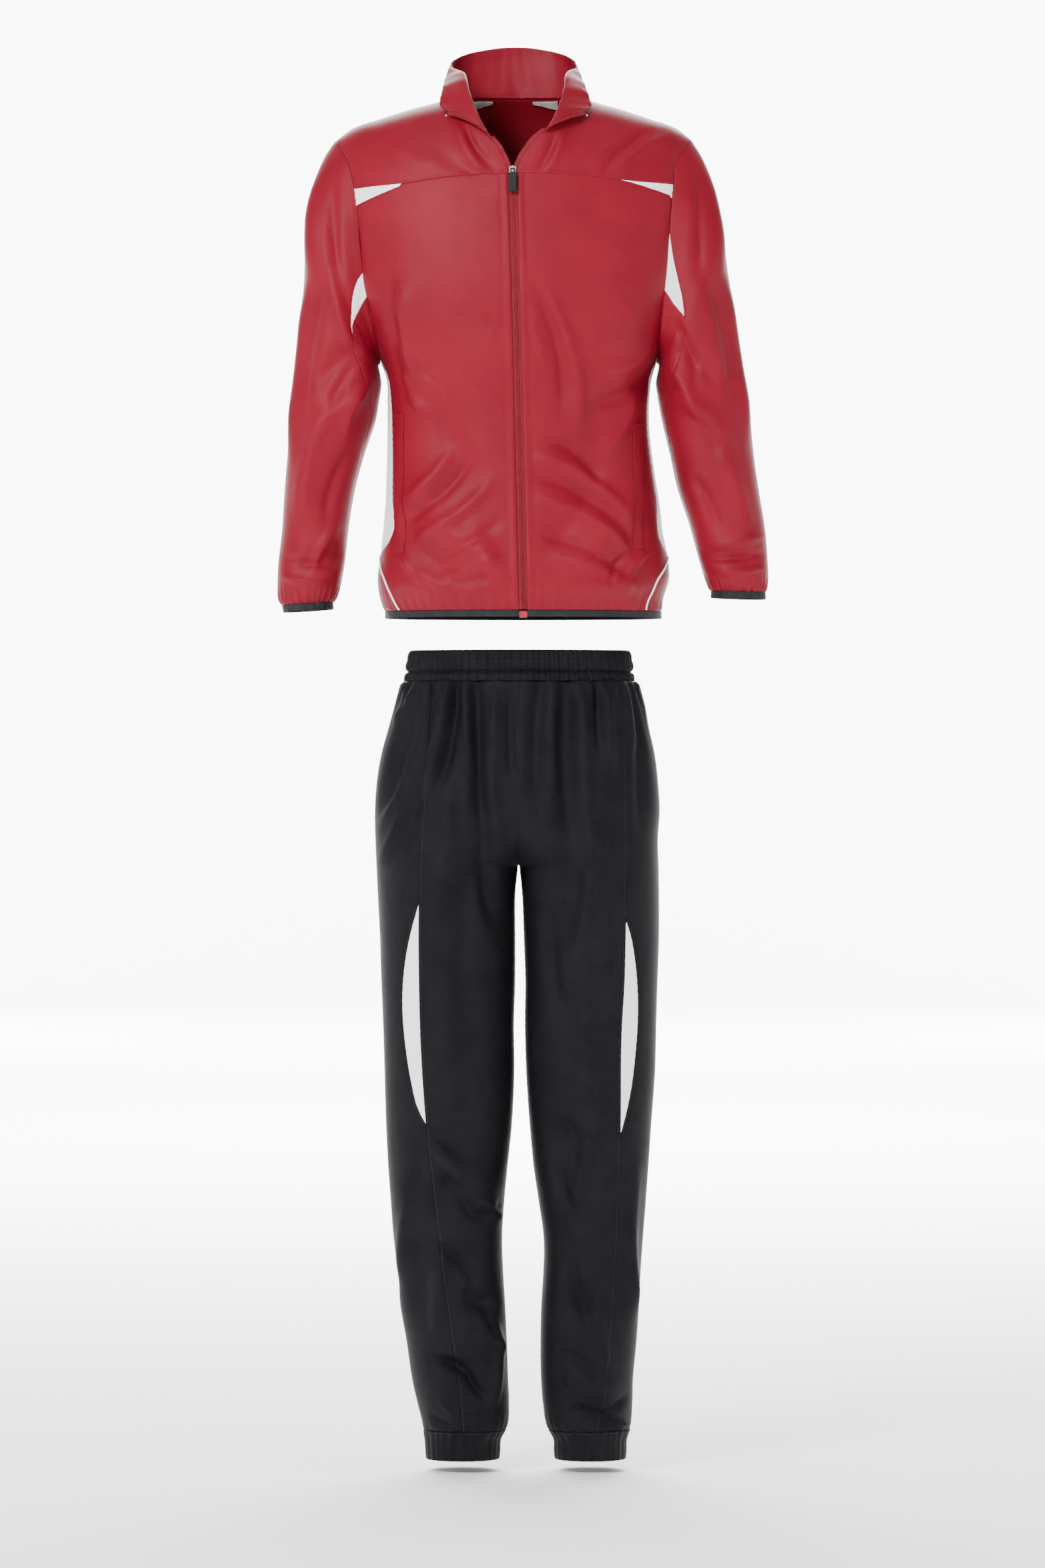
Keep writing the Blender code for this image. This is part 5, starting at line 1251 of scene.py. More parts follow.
def bands(tree, place, direction, scale, distortion, y):
    """Fine parallel lines, for a weave's threads or a knit's wales."""
    wave = node(tree, "ShaderNodeTexWave", -800, y, Scale=scale, Distortion=distortion, Detail=1.0)
    wave.wave_type = "BANDS"
    wave.bands_direction = direction
    tree.links.new(place, wave.inputs["Vector"])
    return wave.outputs["Fac"]


def specks(tree, place, scale, y, detail=3.0):
    """Fine noise, for slubs and nap."""
    noise = node(tree, "ShaderNodeTexNoise", -800, y, Scale=scale, Detail=detail, Roughness=0.6)
    tree.links.new(place, noise.inputs["Vector"])
    return noise.outputs["Fac"]


def woven_cloth(name, colour, darker, rough=0.52, sheen=0.02):
    """Smooth woven sports cloth with a satin face: fine diagonal threads and a little slub."""
    material, tree, shader = base_material(name, rough, specular=0.14, sheen=sheen, sheen_rough=0.35)
    place = object_place(tree)
    shade(tree, shader, colour, darker, 14.0, place)
    twill = bands(tree, place, "DIAGONAL", 420.0, 0.6, -200)
    slub = specks(tree, place, 1900.0, -420)
    soft = specks(tree, place, 46.0, -640, 2.0)
    relief(tree, shader, [(soft, 0.10, 0.004), (slub, 0.22, 0.0002), (twill, 0.16, 0.0002)])
    return material


def knit_cloth(name, colour, darker):
    """Fine black knit: upright wales and a soft nap."""
    material, tree, shader = base_material(name, 0.66, specular=0.09)
    place = object_place(tree)
    shade(tree, shader, colour, darker, 22.0, place)
    rows = bands(tree, place, "X", 640.0, 1.2, -200)
    nap = specks(tree, place, 1500.0, -420)
    soft = specks(tree, place, 60.0, -640, 2.0)
    relief(tree, shader, [(soft, 0.10, 0.003), (nap, 0.30, 0.0003), (rows, 0.22, 0.0003)])
    return material


def elastic_tape(name, colour, darker, rough=0.7):
    """Narrow binding with close ribs across it."""
    material, tree, shader = base_material(name, rough, specular=0.3, sheen=0.05)
    place = object_place(tree)
    shade(tree, shader, colour, darker, 90.0, place)
    ribs = bands(tree, place, "Z", 380.0, 0.5, -200)
    nap = specks(tree, place, 2200.0, -420)
    relief(tree, shader, [(nap, 0.3, 0.0003), (ribs, 0.5, 0.0004)])
    return material


def hard_finish(name, colour, darker, rough, metal, grain):
    """Moulded plastic, rubber or plated metal, with a fine grain and slight wear."""
    material, tree, shader = base_material(name, rough, metal, 0.5 if metal else 0.2)
    place = object_place(tree)
    drift = shade(tree, shader, colour, darker, 180.0, place, 0.3, 0.7)
    spread_rough = node(tree, "ShaderNodeMapRange", -300, -100)
    spread_rough.inputs["To Min"].default_value = max(0.05, rough - 0.1)
    spread_rough.inputs["To Max"].default_value = rough + 0.12
    tree.links.new(drift.outputs["Fac"], spread_rough.inputs["Value"])
    tree.links.new(spread_rough.outputs["Result"], shader.inputs["Roughness"])
    relief(tree, shader, [(specks(tree, place, grain, -420), 0.25, 0.0001)])
    return material


LOOK_ROWS = (
    # name maker colour darker, then the maker's further values
    ("red_cloth", woven_cloth, (0.20, 0.0042, 0.0155), (0.172, 0.0034, 0.013)),
    ("dark_red_facing", woven_cloth, (0.20, 0.004, 0.012), (0.16, 0.003, 0.009), 0.7, 0.02),
    ("white_cloth", woven_cloth, (0.96, 0.96, 0.97), (0.91, 0.91, 0.925), 0.5, 0.05),
    ("black_knit", knit_cloth, (0.0072, 0.0072, 0.0088), (0.0048, 0.005, 0.0066)),
    ("black_binding", elastic_tape, (0.010, 0.011, 0.014), (0.006, 0.007, 0.009)),
    ("grey_tape", elastic_tape, (0.55, 0.52, 0.52), (0.44, 0.42, 0.42)),
    ("zip_tape", elastic_tape, (0.17, 0.0035, 0.013), (0.13, 0.0028, 0.010), 0.6),
    ("box_plastic", hard_finish, (0.34, 0.030, 0.045), (0.28, 0.022, 0.035), 0.35, 0.0, 900.0),
    ("bright_metal", hard_finish, (0.62, 0.62, 0.63), (0.46, 0.46, 0.48), 0.28, 1.0, 1400.0),
    ("dark_rubber", hard_finish, (0.009, 0.0095, 0.011), (0.006, 0.0065, 0.008), 0.5, 0.0, 1600.0),
    ("zip_teeth", hard_finish, (0.26, 0.007, 0.020), (0.19, 0.005, 0.015), 0.6, 0.0, 1200.0),
    ("red_thread", woven_cloth, (0.16, 0.0035, 0.012), (0.12, 0.0025, 0.009), 0.5, 0.2),
    ("black_thread", woven_cloth, (0.022, 0.023, 0.026), (0.012, 0.013, 0.015), 0.5, 0.3),
)
LOOKS = {name: maker(name, *values) for name, maker, *values in LOOK_ROWS}


# Cloth pieces


def linked(name, data):
    """A new object in the scene."""
    piece = bpy.data.objects.new(name, data)
    bpy.context.scene.collection.objects.link(piece)
    return piece


def crowd(grid, ring):
    """More grid lines close to the edges, where seams turn the cloth quickly."""
    def widened(values):
        low = [values[0] + (values[1] - values[0]) * part for part in CLOSE_LINES]
        high = [values[-1] + (values[-2] - values[-1]) * part for part in CLOSE_LINES[::-1]]
        return np.concatenate((np.array(low), values[1:-1], np.array(high)))

    grid = widened(grid)
    if ring:
        return grid
    return np.swapaxes(widened(np.swapaxes(grid, 0, 1)), 0, 1)


def from_edges(points, ring, edges):
    """Distance of each point from the nearest sewn edge: bottom, top, first and last."""
    up = walked(points, 0)
    away = [up if edges[0] else up + FAR, up[-1:] - up if edges[1] else up + FAR]
    if not ring:
        along = walked(points, 1)
        away.append(along if edges[2] else along + FAR)
        away.append(along[:, -1:] - along if edges[3] else along + FAR)
    return np.minimum.reduce(away)


def quad_area(points):
    """The area of a grid of points."""
    across = points[:-1, 1:] - points[:-1, :-1]
    up = points[1:, :-1] - points[:-1, :-1]
    return float(np.linalg.norm(np.cross(across, up), axis=-1).sum())


def grid_mesh(name, points, ring):
    """A mesh over a grid of points in millimetres, closed round when it is a ring."""
    rows, columns = points.shape[:2]
    low = np.arange(rows - 1)[:, None] * columns
    here = np.arange(columns if ring else columns - 1)
    after = (here + 1) % columns
    faces = np.stack((low + here, low + after, low + columns + after, low + columns + here), axis=-1)
    mesh = bpy.data.meshes.new(name)
    mesh.from_pydata((points.reshape(-1, 3) * MM).tolist(), [], faces.reshape(-1, 4).tolist())
    mesh.shade_smooth()
    return mesh


def cloth(name, grid, surface, ring=False, wall=WALL, edges=(1, 1, 1, 1), out=0.0):
    """A cloth piece over a grid of surface coordinates, in place of the solid of that name."""
    grid = crowd(np.asarray(grid, float), ring)
    flat_form = surface(grid[..., 0], grid[..., 1], out)
    normal = surface(grid[..., 0], grid[..., 1], out + 1.0) - flat_form
    away = from_edges(flat_form, ring, edges)
    x, z = flat_form[..., 0], flat_form[..., 2]
    dip = -SEAM_DIP * np.exp(-(away / SEAM_DIP_REACH) ** 2)
    seam_pucker = PUCKER * np.exp(-away / PUCKER_REACH) * ripple(0.8 * x + z, PUCKER_PERIOD, PUCKER_WANDER)
    points = flat_form + normal * (dip + seam_pucker)[..., None]
    shell = linked(name + "_cloth", grid_mesh(name, points, ring))
    thick = shell.modifiers.new("wall", "SOLIDIFY")
    thick.thickness = wall * MM
    thick.offset = 0
    shell.data.materials.append(LOOKS[SLOTS[name]])
    closed = np.concatenate((points, points[:, :1]), axis=1) if ring else points
    width = max(float(walked(closed, 1)[:, -1].max()) * MM, LEAST_FLAT)
    length = max(float(walked(points, 0)[-1].max()) * MM, LEAST_FLAT)
    area = quad_area(closed) * MM * MM
    width = max(min(width, area / (LEAST_SHARE * length)), LEAST_FLAT)
    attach(shell, SUIT)
    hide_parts(name)
    return shell


def trimming(name, mesh, look):
    """A small piece that only rides on the suit."""
    piece = linked(name, mesh)
    piece.data.materials.append(LOOKS[look])
    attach(piece, SUIT)
    return piece


def stitch_row(lines):
    """Corners and faces of short raised threads along lines given as (points, normals)."""
    corners, faces = [], []
    for points, normals in lines:
        length = walked(points, 0)
        count = int(length[-1] // STITCH_PITCH)
        for at in (np.arange(count) + 0.5) * STITCH_PITCH:
            ends = [read_off(at + part * STITCH_LENGTH, length, points) for part in (-0.5, 0, 0.5)]
            up = read_off(at, length, normals)
            across = unit(np.cross(unit(ends[2] - ends[0]), up))
            first = len(corners)
            for place, size, rise in zip(ends, STITCH_SIZES, STITCH_RISES):
                middle = place + up * rise
                for turn_across, turn_up in ((1, 0), (0, 1), (-1, 0), (0, -1)):
                    corners.append(middle + (across * turn_across + up * turn_up) * STITCH_HALF * size)
            for ring_start in (first, first + 4):
                for k in range(4):
                    after = (k + 1) % 4
                    low, high = ring_start, ring_start + 4
                    faces.append((low + k, low + after, high + after, high + k))
            faces.append((first + 3, first + 2, first + 1, first))
            faces.append((first + 8, first + 9, first + 10, first + 11))
    return corners, faces


def loose_mesh(name, corners, faces):
    """A mesh from corners in millimetres."""
    mesh = bpy.data.meshes.new(name)
    mesh.from_pydata([tuple(corner * MM) for corner in corners], [], faces)
    return mesh


def stitches(name, lines, look):
    """All the stitch rows of one garment as one piece."""
    mesh = loose_mesh(name, *stitch_row(lines))
    mesh.shade_smooth()
    return trimming(name, mesh, look)


def line_on(surface, first, second, out):
    """A line for stitches on a surface, with its normals."""
    points = surface(first, second, out)
    return points, surface(first, second, out + 1.0) - points


def crossed(across, up):
    """A grid of surface coordinates from a list across and a list up."""
    return np.stack(np.meshgrid(across, up), axis=-1)


# Jacket

def make_fronts():
    for side in (-1, 1):
        top = yoke_seam_edge(side, True)
        outer = body_levels_seam(side, "front_" + SIDE_NAME[side], BODY_LEVELS)
        outer += armhole_nodes(side, NODES_FRONT[side])
        heights = np.array([height for _, height in outer])
        inner_heights = HEM + (heights - HEM) * (top[0][1] - HEM) / (heights[-1] - HEM)
        inner = [(float(angle_at(zip_x(z) + side * ZIP_HALF, z)), z) for z in inner_heights]
        hem = [(angle, HEM) for angle in np.linspace(inner[0][0], outer[0][0], YOKE_COLUMNS + 1)]
        cloth("jacket_front_" + SIDE_NAME[side], coons(hem, top, inner, outer), torso)


def make_yokes():
    for side in (-1, 1):
        bottom = yoke_seam_edge(side, False)
        outer = armhole_nodes(side, NODES_YOKE[side])
        top = np.concatenate((neck_front_nodes(side), ridge_nodes(side)[1:]))
        grid = coons(bottom, top, yoke_inner_nodes(side), outer)
        cloth("jacket_yoke_" + SIDE_NAME[side], grid, torso)


def make_chest_inserts():
    for side in (-1, 1):
        low = yoke_seam_edge(side, True)[-INSERT_COLUMNS - 1:]
        high = yoke_seam_edge(side, False)[-INSERT_COLUMNS - 1:]
        first = np.linspace(low[0], high[0], INSERT_ROWS)
        last = np.linspace(low[-1], high[-1], INSERT_ROWS)
        cloth("chest_insert_" + SIDE_NAME[side], coons(low, high, first, last), torso)


def make_side_panels():
    levels = [level for level in BODY_LEVELS if level > PANEL_TIP]
    for side in (-1, 1):
        nodes = armhole_nodes(side, NODES_SIDE)
        tip = side * PANEL_TIP_ANGLE[side]
        front = body_levels_seam(side, "front_" + SIDE_NAME[side], levels)
        back = body_levels_seam(side, "back_" + SIDE_NAME[side], levels)
        front = [(tip - side * PANEL_TIP_HALF, PANEL_TIP + PANEL_TIP_RISE)] + front + [nodes[0]]
        back = [(tip + side * PANEL_TIP_HALF, PANEL_TIP + PANEL_TIP_RISE)] + back + [nodes[-1]]
        bottom = np.linspace(front[0], back[0], len(nodes))
        cloth("side_panel_" + SIDE_NAME[side], coons(bottom, nodes, front, back), torso)


def make_back():
    edges, halves = {}, {}
    for side in (-1, 1):
        seam = body_levels_seam(side, "back_" + SIDE_NAME[side], BODY_LEVELS)
        nodes = armhole_nodes(side, NODES_BACK)
        edges[side] = [(angle % 360, height) for angle, height in seam + nodes]
        ridge = ridge_nodes(side)
        ridge[:, 0] = 180 - ridge[:, 0]
        halves[side] = np.concatenate((neck_back_nodes(side), ridge[1:]))
    right, left = edges[1], edges[-1]
    top = np.concatenate((halves[1][::-1], halves[-1][1:]))
    hem = [(angle, HEM) for angle in np.linspace(right[0][0], left[0][0], len(top))]
    cloth("jacket_back", coons(hem, top, right, left), torso)


def make_sleeves():
    for side in (-1, 1):
        name = SIDE_NAME[side]
        edges = INSERT_EDGES[side]
        last, start = INSERT_NODES[side]
        surface = partial(sleeve, side)
        lower = [turn for turn in sorted(set(NODES_FRONT[side])) if turn >= start]
        around = lower + list(NODES_SIDE[1:]) + list(NODES_BACK[1:-1])
        over = [360 + turn for turn in reversed(NODES_YOKE[side])]
        over += [360 + turn for turn in sorted(NODES_FRONT[side]) if turn <= last]
        first_turns = np.array(around + over, float)
        shares = (first_turns - first_turns[0]) / (first_turns[-1] - first_turns[0])
        even = np.linspace(0, 1, len(shares))
        rows = []
        for ring in SLEEVE_RINGS:
            low = float(edges["lower"](ring))
            high = 360 + float(edges["upper"](ring))
            settled = step(ring / 6)
            rows.append(low + (high - low) * (shares * (1 - settled) + even * settled))
        turns = np.array(rows)
        rings = np.repeat(SLEEVE_RINGS[:, None], turns.shape[1], axis=1)
        cloth("sleeve_" + name, np.stack((rings, turns), axis=-1)[::-1], surface)
        insert_rings = SLEEVE_RINGS[SLEEVE_RINGS <= INSERT_LAST[side]]
        across = np.linspace(0, 1, INSERT_ROWS)[None, :]
        high = edges["upper"](insert_rings)[:, None]
        low = edges["lower"](insert_rings)[:, None]
        turns = high + (low - high) * across
        rings = np.repeat(insert_rings[:, None], turns.shape[1], axis=1)
        cloth("underarm_insert_" + name, np.stack((rings, turns), axis=-1)[::-1], surface)
        turns = np.linspace(0, 360, CUFF_COLUMNS, endpoint=False)
        rings = np.linspace(CUFF_END, CUFF_RING, CUFF_ROWS)
        grid = np.stack(np.meshgrid(rings, turns, indexing="ij"), axis=-1)
        cloth("cuff_binding_" + name, grid, surface, ring=True, wall=CUFF_WALL, edges=(0, 1, 0, 0),
              out=CUFF_OUT)


def collar_face(share, up, out):
    """The collar with its soft dents, moved out from its cloth by a distance."""
    plain = collar(share, up)
    across = np.gradient(plain, axis=1)
    rise = np.gradient(plain, axis=0)
    normal = unit(np.cross(across, rise))
    dents = COLLAR_WAVE * ripple(share * COLLAR_LENGTH, 21, 53) * step(up / 0.2)
    for at_share, at_up, half_share, half_up, height in COLLAR_FOLDS:
        away = ((share - at_share) / half_share) ** 2 + ((up - at_up) / half_up) ** 2
        dents = dents + height * np.exp(-away)
    return plain + normal * (dents + out)[..., None]


def make_collar():
    cloth("collar", crossed(COLLAR_SHARES, COLLAR_UPS), collar_face, wall=COLLAR_WALL)


def on_back(x, height, out):
    """A point inside the jacket's back, seen from in front. Out is towards the viewer."""
    return torso(180 - angle_at(x, height), height, -out)


def neck_top(x):
    """The height of the neckline at the back."""
    return smooth([place for place, _ in NECK_BACK], [z for _, z in NECK_BACK])(np.abs(x))


def make_neck_inside():
    """The half-moon facing inside the back, and a short tape over each of its ends."""
    xs = np.linspace(-FACING_HALF, FACING_HALF, FACING_COLUMNS)
    top = neck_top(xs) - FACING_DROP
    low = -FACING_DEPTH + (FACING_DEPTH + FACING_END) * (np.abs(xs) / FACING_HALF) ** FACING_CURVE
    heights = low + (top - low) * np.linspace(0, 1, FACING_ROWS)[:, None]
    grid = np.stack((np.broadcast_to(xs, heights.shape), heights), axis=-1)
    cloth("back_neck_facing", grid, on_back, out=LAYER, wall=FACING_WALL)
    for side, (near, far) in TAPE_ENDS.items():
        xs = np.linspace(near, far, TAPE_COLUMNS)
        top = neck_top(xs) - TAPE_DROP
        depth = np.linspace(*TAPE_DEPTH, TAPE_COLUMNS)
        heights = top - depth * (1 - np.linspace(0, 1, TAPE_ROWS)[:, None])
        grid = np.stack((np.broadcast_to(side * xs, heights.shape), heights), axis=-1)
        cloth("neck_tape_" + SIDE_NAME[side], grid, on_back, out=TAPE_LAYER * LAYER, wall=TAPE_WALL)


def make_hem_binding():
    """The elastic binding round the hem, open at the zip."""
    heights = np.linspace(HEM - HEM_BINDING, HEM - HEM_BINDING_GAP, HEM_BINDING_ROWS)
    start = float(angle_at(zip_x(HEM) + ZIP_HALF, HEM)) + HEM_BINDING_CLEAR
    end = float(angle_at(zip_x(HEM) - ZIP_HALF, HEM)) + 360 - HEM_BINDING_CLEAR
    grid = crossed(np.linspace(start, end, HEM_BINDING_COLUMNS), heights)
    cloth("hem_binding", grid, torso, wall=HEM_BINDING_WALL, edges=(0, 1, 0, 0),
          out=HEM_BINDING_OUT)


def make_piping():
    for side in (-1, 1):
        name = "piping_" + SIDE_NAME[side]
        heights = np.linspace(HEM + PIPING_LOW, PANEL_TIP + PIPING_TOP, PIPING_ROWS)
        angles = side * BODY_SEAM["back_" + SIDE_NAME[side]](heights)
        points, up = line_on(torso, angles, heights, PIPING_OUT)
        around = np.radians(np.linspace(0, 360, PIPING_SIDES, endpoint=False))
        along = unit(np.gradient(points, axis=0))
        across = np.cross(along, up)
        loops = (points[:, None] + across[:, None] * np.cos(around)[None, :, None] * PIPING_RADIUS
                 + up[:, None] * np.sin(around)[None, :, None] * PIPING_RADIUS)
        mesh = grid_mesh(name, loops, True)
        cord = trimming(name + "_cord", mesh, "white_cloth")
        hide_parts(name)


def on_front(x, height, out):
    """A point on the jacket's front, as seen from in front."""
    return torso(angle_at(x, height), height, out)


def make_pocket_welts():
    for side in (-1, 1):
        heights = np.linspace(POCKET_LOW[side], POCKET_TOP[side], POCKET_ROWS)
        grid = crossed(np.linspace(*POCKET_X[side], POCKET_COLUMNS), heights)
        cloth("pocket_welt_" + SIDE_NAME[side], grid, on_front, out=POCKET_OUT)


# Zip


def on_zip(across, height, out):
    """The closed zip's tape, a little sunk between the two folded edges."""
    return torso(angle_at(zip_x(height) + across, height), height, out + TAPE_SINK)


def teeth_mesh(name, centres, across, normals):
    """One small rounded block at each centre."""
    corners, faces = [], []
    along = unit(np.gradient(centres, axis=0))
    shape = ((-1, -1, -1), (1, -1, -1), (1, 1, -1), (-1, 1, -1),
             (-0.6, -0.7, 1), (0.6, -0.7, 1), (0.6, 0.7, 1), (-0.6, 0.7, 1))
    sides = ((3, 2, 1, 0), (4, 5, 6, 7), (0, 1, 5, 4), (1, 2, 6, 5), (2, 3, 7, 6), (3, 0, 4, 7))
    for centre, way, side_way, up in zip(centres, along, across, normals):
        first = len(corners)
        for a, b, c in shape:
            corners.append(centre + side_way * a * TOOTH[0] + way * b * TOOTH[1] + up * c * TOOTH[2])
        faces += [tuple(first + k for k in side) for side in sides]
    return loose_mesh(name, corners, faces)


def make_closed_zip():
    """The closed zip: its sunk tape, and two rows of teeth that lie half a pitch apart."""
    heights = np.linspace(HEM + CHAIN_LOW, ZIP_TOP - CHAIN_TOP, CHAIN_ROWS)
    tape_half = ZIP_HALF - CHAIN_INSET
    grid = crossed(np.linspace(-tape_half, tape_half, CHAIN_COLUMNS), heights)
    cloth("zip_chain", grid, on_zip, edges=(0, 0, 1, 1))
    for side in (-1, 1):
        shift = 0 if side < 0 else TOOTH_PITCH / 2
        places = np.arange(HEM + TEETH_LOW + shift, ZIP_TOP - TEETH_TOP, TOOTH_PITCH)
        centres, normals = line_on(on_zip, np.full_like(places, side * TOOTH_AWAY), places, TOOTH_OUT)
        across = np.broadcast_to(np.array((1.0, 0, 0)), centres.shape)
        mesh = teeth_mesh("teeth", centres, across, normals)
        trimming("zip_teeth_" + SIDE_NAME[side], mesh, "zip_teeth")


def zip_edge_lines(side):
    """The open front edge from the slider to the collar's corner, and the way out from it."""
    line = yoke_inner_nodes(side)
    line[0, 1] += EDGE_START_RISE
    body_edge = torso_plain(line[:, 0], line[:, 1])
    ups = np.linspace(0, 1, COLLAR_EDGE_STEPS)
    ends = np.full(len(ups), side * 1.0)
    collar_edge = collar(ends, ups)
    inner_ups = np.minimum(ups, COLLAR_EDGE_STEADY)
    out_of_collar = collar(ends, inner_ups) - collar(ends * COLLAR_EDGE_BACK, inner_ups)
    beside = torso_plain(line[:, 0] - side * EDGE_TURN, line[:, 1])
    outer = np.concatenate((body_edge[:-1], collar_edge))
    away = np.concatenate(((beside - body_edge)[:-1], out_of_collar))
    length = walked(outer, 0)
    even = np.linspace(0, length[-1], EDGE_ROWS)
    outer = read_off(even, length, outer)
    away = read_off(even, length, unit(away))
    along = unit(np.gradient(outer, axis=0))
    away = unit(away - along * (away * along).sum(axis=1, keepdims=True))
    return outer, away, along


def make_open_zip():
    for side in (-1, 1):
        outer, away, along = zip_edge_lines(side)
        up = -side * np.cross(along, away)

        def tape(row, across, out, outer=outer, away=away, up=up):
            row = np.clip(row, 0, EDGE_ROWS - 1)
            at = np.arange(EDGE_ROWS)
            way = read_off(row, at, away)
            rise = read_off(row, at, up)
            return read_off(row, at, outer) + way * across[..., None] + rise * out

        rows = np.arange(EDGE_ROWS, dtype=float)
        across = np.linspace(ZIP_EDGE_GAP, ZIP_EDGE_WIDTH, EDGE_COLUMNS)
        grid = np.stack(np.meshgrid(rows, across, indexing="ij"), axis=-1)
        cloth("zip_edge_" + SIDE_NAME[side], grid, tape, edges=(0, 0, 1, 0), wall=EDGE_WALL)
        length = walked(outer, 0)[-1]
        places = np.arange(EDGE_END, length - EDGE_END, TOOTH_PITCH) / length * (EDGE_ROWS - 1)
        for face in (1, -1):
            at_teeth = np.full_like(places, ZIP_EDGE_WIDTH - EDGE_TOOTH_INSET)
            centres = tape(places, at_teeth, 0.0)
            ways = tape(places, at_teeth + 1.0, 0.0) - centres
            normals = (tape(places, at_teeth, 1.0) - centres) * face
            mesh = teeth_mesh("teeth", centres + normals * EDGE_TOOTH_OUT, ways, normals)
            which = "outer" if face > 0 else "inner"
            trimming(f"zip_edge_teeth_{which}_{SIDE_NAME[side]}", mesh, "zip_teeth")


def make_jacket_stitches():
    lines = []
    for side in (-1, 1):
        seam = yoke_seam_edge(side, False)[1:-1]
        lines.append(line_on(torso, seam[:, 0], seam[:, 1] + YOKE_STITCH_RISE, CLOTH_STITCH_OUT))
        heights = np.linspace(*PLACKET_STITCH_ENDS, 200)
        xs = zip_x(heights) + side * (ZIP_HALF + PLACKET_STITCH_AWAY)
        lines.append(line_on(on_front, xs, heights, CLOTH_STITCH_OUT))
        near = POCKET_X[side][0] + WELT_STITCH_INSET
        far = POCKET_X[side][1] - WELT_STITCH_INSET
        low = POCKET_LOW[side] + WELT_STITCH_END
        high = POCKET_TOP[side] - WELT_STITCH_END
        heights = np.linspace(low, high, 90)
        for x in (near, far):
            lines.append(line_on(on_front, np.full_like(heights, x), heights, WELT_STITCH_OUT))
        for height in (low, high):
            xs = np.linspace(near, far, 8)
            lines.append(line_on(on_front, xs, np.full_like(xs, height), WELT_STITCH_OUT))
        edge = yoke_inner_nodes(side)[1:-1]
        lines.append(line_on(torso, edge[:, 0] + side * EDGE_STITCH_TURN, edge[:, 1], CLOTH_STITCH_OUT))
    beside = np.array((-0.01, 0, 0.01))
    rows = [(np.meshgrid(share + beside, COLLAR_UPS), (slice(None), 1)) for share in COLLAR_STITCH_SHARES]
    rows.append((np.meshgrid(COLLAR_SHARES, COLLAR_STITCH_RISE + beside), 1))
    for face in (1, -1):
        for grid, middle_row in rows:
            middle = collar_face(*grid, 0.0)[middle_row]
            normal = (collar_face(*grid, 1.0)[middle_row] - middle) * face
            lines.append((middle + normal * COLLAR_STITCH_OUT, normal))
    stitches("jacket_stitches", lines, "red_thread")


# Trousers


def leg_levels(side):
    low, high = CRESCENT_TIPS[side]
    at_crotch = [CROTCH + rise for rise in CROTCH_LINES]
    return np.array(filled((HEM_BAND_TOP, ANKLE, low, high, *at_crotch, LEG_TOP), LEG_PITCH))


def leg_edges(side, levels):
    """The angles of a leg's seams at each height."""
    seam = leg_angle(side, LEG_SEAM[SIDE_NAME[side]](levels), levels)
    low, high = CRESCENT_TIPS[side]
    held = (levels >= low - 0.01) & (levels <= high + 0.01)
    edge = leg_angle(side, CRESCENT[side]["edge"](levels), levels)
    cut = np.where(levels > CROTCH, seat_cut(levels), 0)
    return cut, seam, np.where(held, edge, seam), held


def strip(levels, first, last, columns):
    """A grid between two seams of a leg, given by their angles at each height."""
    share = np.linspace(0, 1, columns + 1)[None, :]
    turns = first[:, None] * (1 - share) + last[:, None] * share
    return np.stack((turns, np.repeat(levels[:, None], columns + 1, axis=1)), axis=-1)


def make_legs():
    for side in (-1, 1):
        name = SIDE_NAME[side]
        surface = partial(leg, side)
        levels = leg_levels(side)
        cut, seam, outer, held = leg_edges(side, levels)
        side_seam = np.full_like(seam, SIDE_SEAM)
        spans = {"front": (cut, seam), "side": (outer, side_seam), "back": (side_seam, 360 - cut)}
        for part, (first, last) in spans.items():
            cloth(f"trouser_{part}_{name}", strip(levels, first, last, LEG_COLUMNS[part]), surface)
        crescent = strip(levels[held], seam[held], outer[held], CRESCENT_COLUMNS)
        cloth("crescent_" + name, crescent, surface)
        turns = np.linspace(0, 360, HEM_BAND_COLUMNS, endpoint=False)
        grid = crossed(turns, np.linspace(TROUSERS_HEM, HEM_BAND_TOP - HEM_BAND_GAP, HEM_BAND_ROWS))
        cloth("trouser_hem_" + name, grid, surface, ring=True, wall=ELASTIC_WALL, edges=(0, 1, 0, 0),
              out=HEM_BAND_OUT)


def waist(turn, height, out):
    """The elastic waistband, closely gathered. Its angle is 0 in front and 90 at the right."""
    sine = np.sin(np.radians(turn))
    cosine = np.cos(np.radians(turn))
    half = np.where(sine < 0, WAIST["left"](height), WAIST["right"](height))
    depth = np.where(cosine > 0, WAIST["front"](height), WAIST["back"](height))
    around = turn * WAIST_ARC
    gather = sum(high * ripple(around, period, wander) for period, wander, high in WAIST_RIPPLES)
    groove = sum(-deep * np.exp(-((height - at) / wide) ** 2) for at, wide, deep in WAIST_GROOVES)
    lift = gather + groove + out
    x = (half + lift) * spread(sine)
    y = -(depth + lift) * spread(cosine)
    return np.stack(np.broadcast_arrays(x, y, height * np.ones_like(x)), axis=-1)


def make_waistband():
    grid = crossed(np.linspace(0, 360, WAIST_COLUMNS, endpoint=False), np.array(WAIST_ROWS))
    cloth("waistband", grid, waist, ring=True, wall=ELASTIC_WALL, edges=(1, 0, 0, 0))


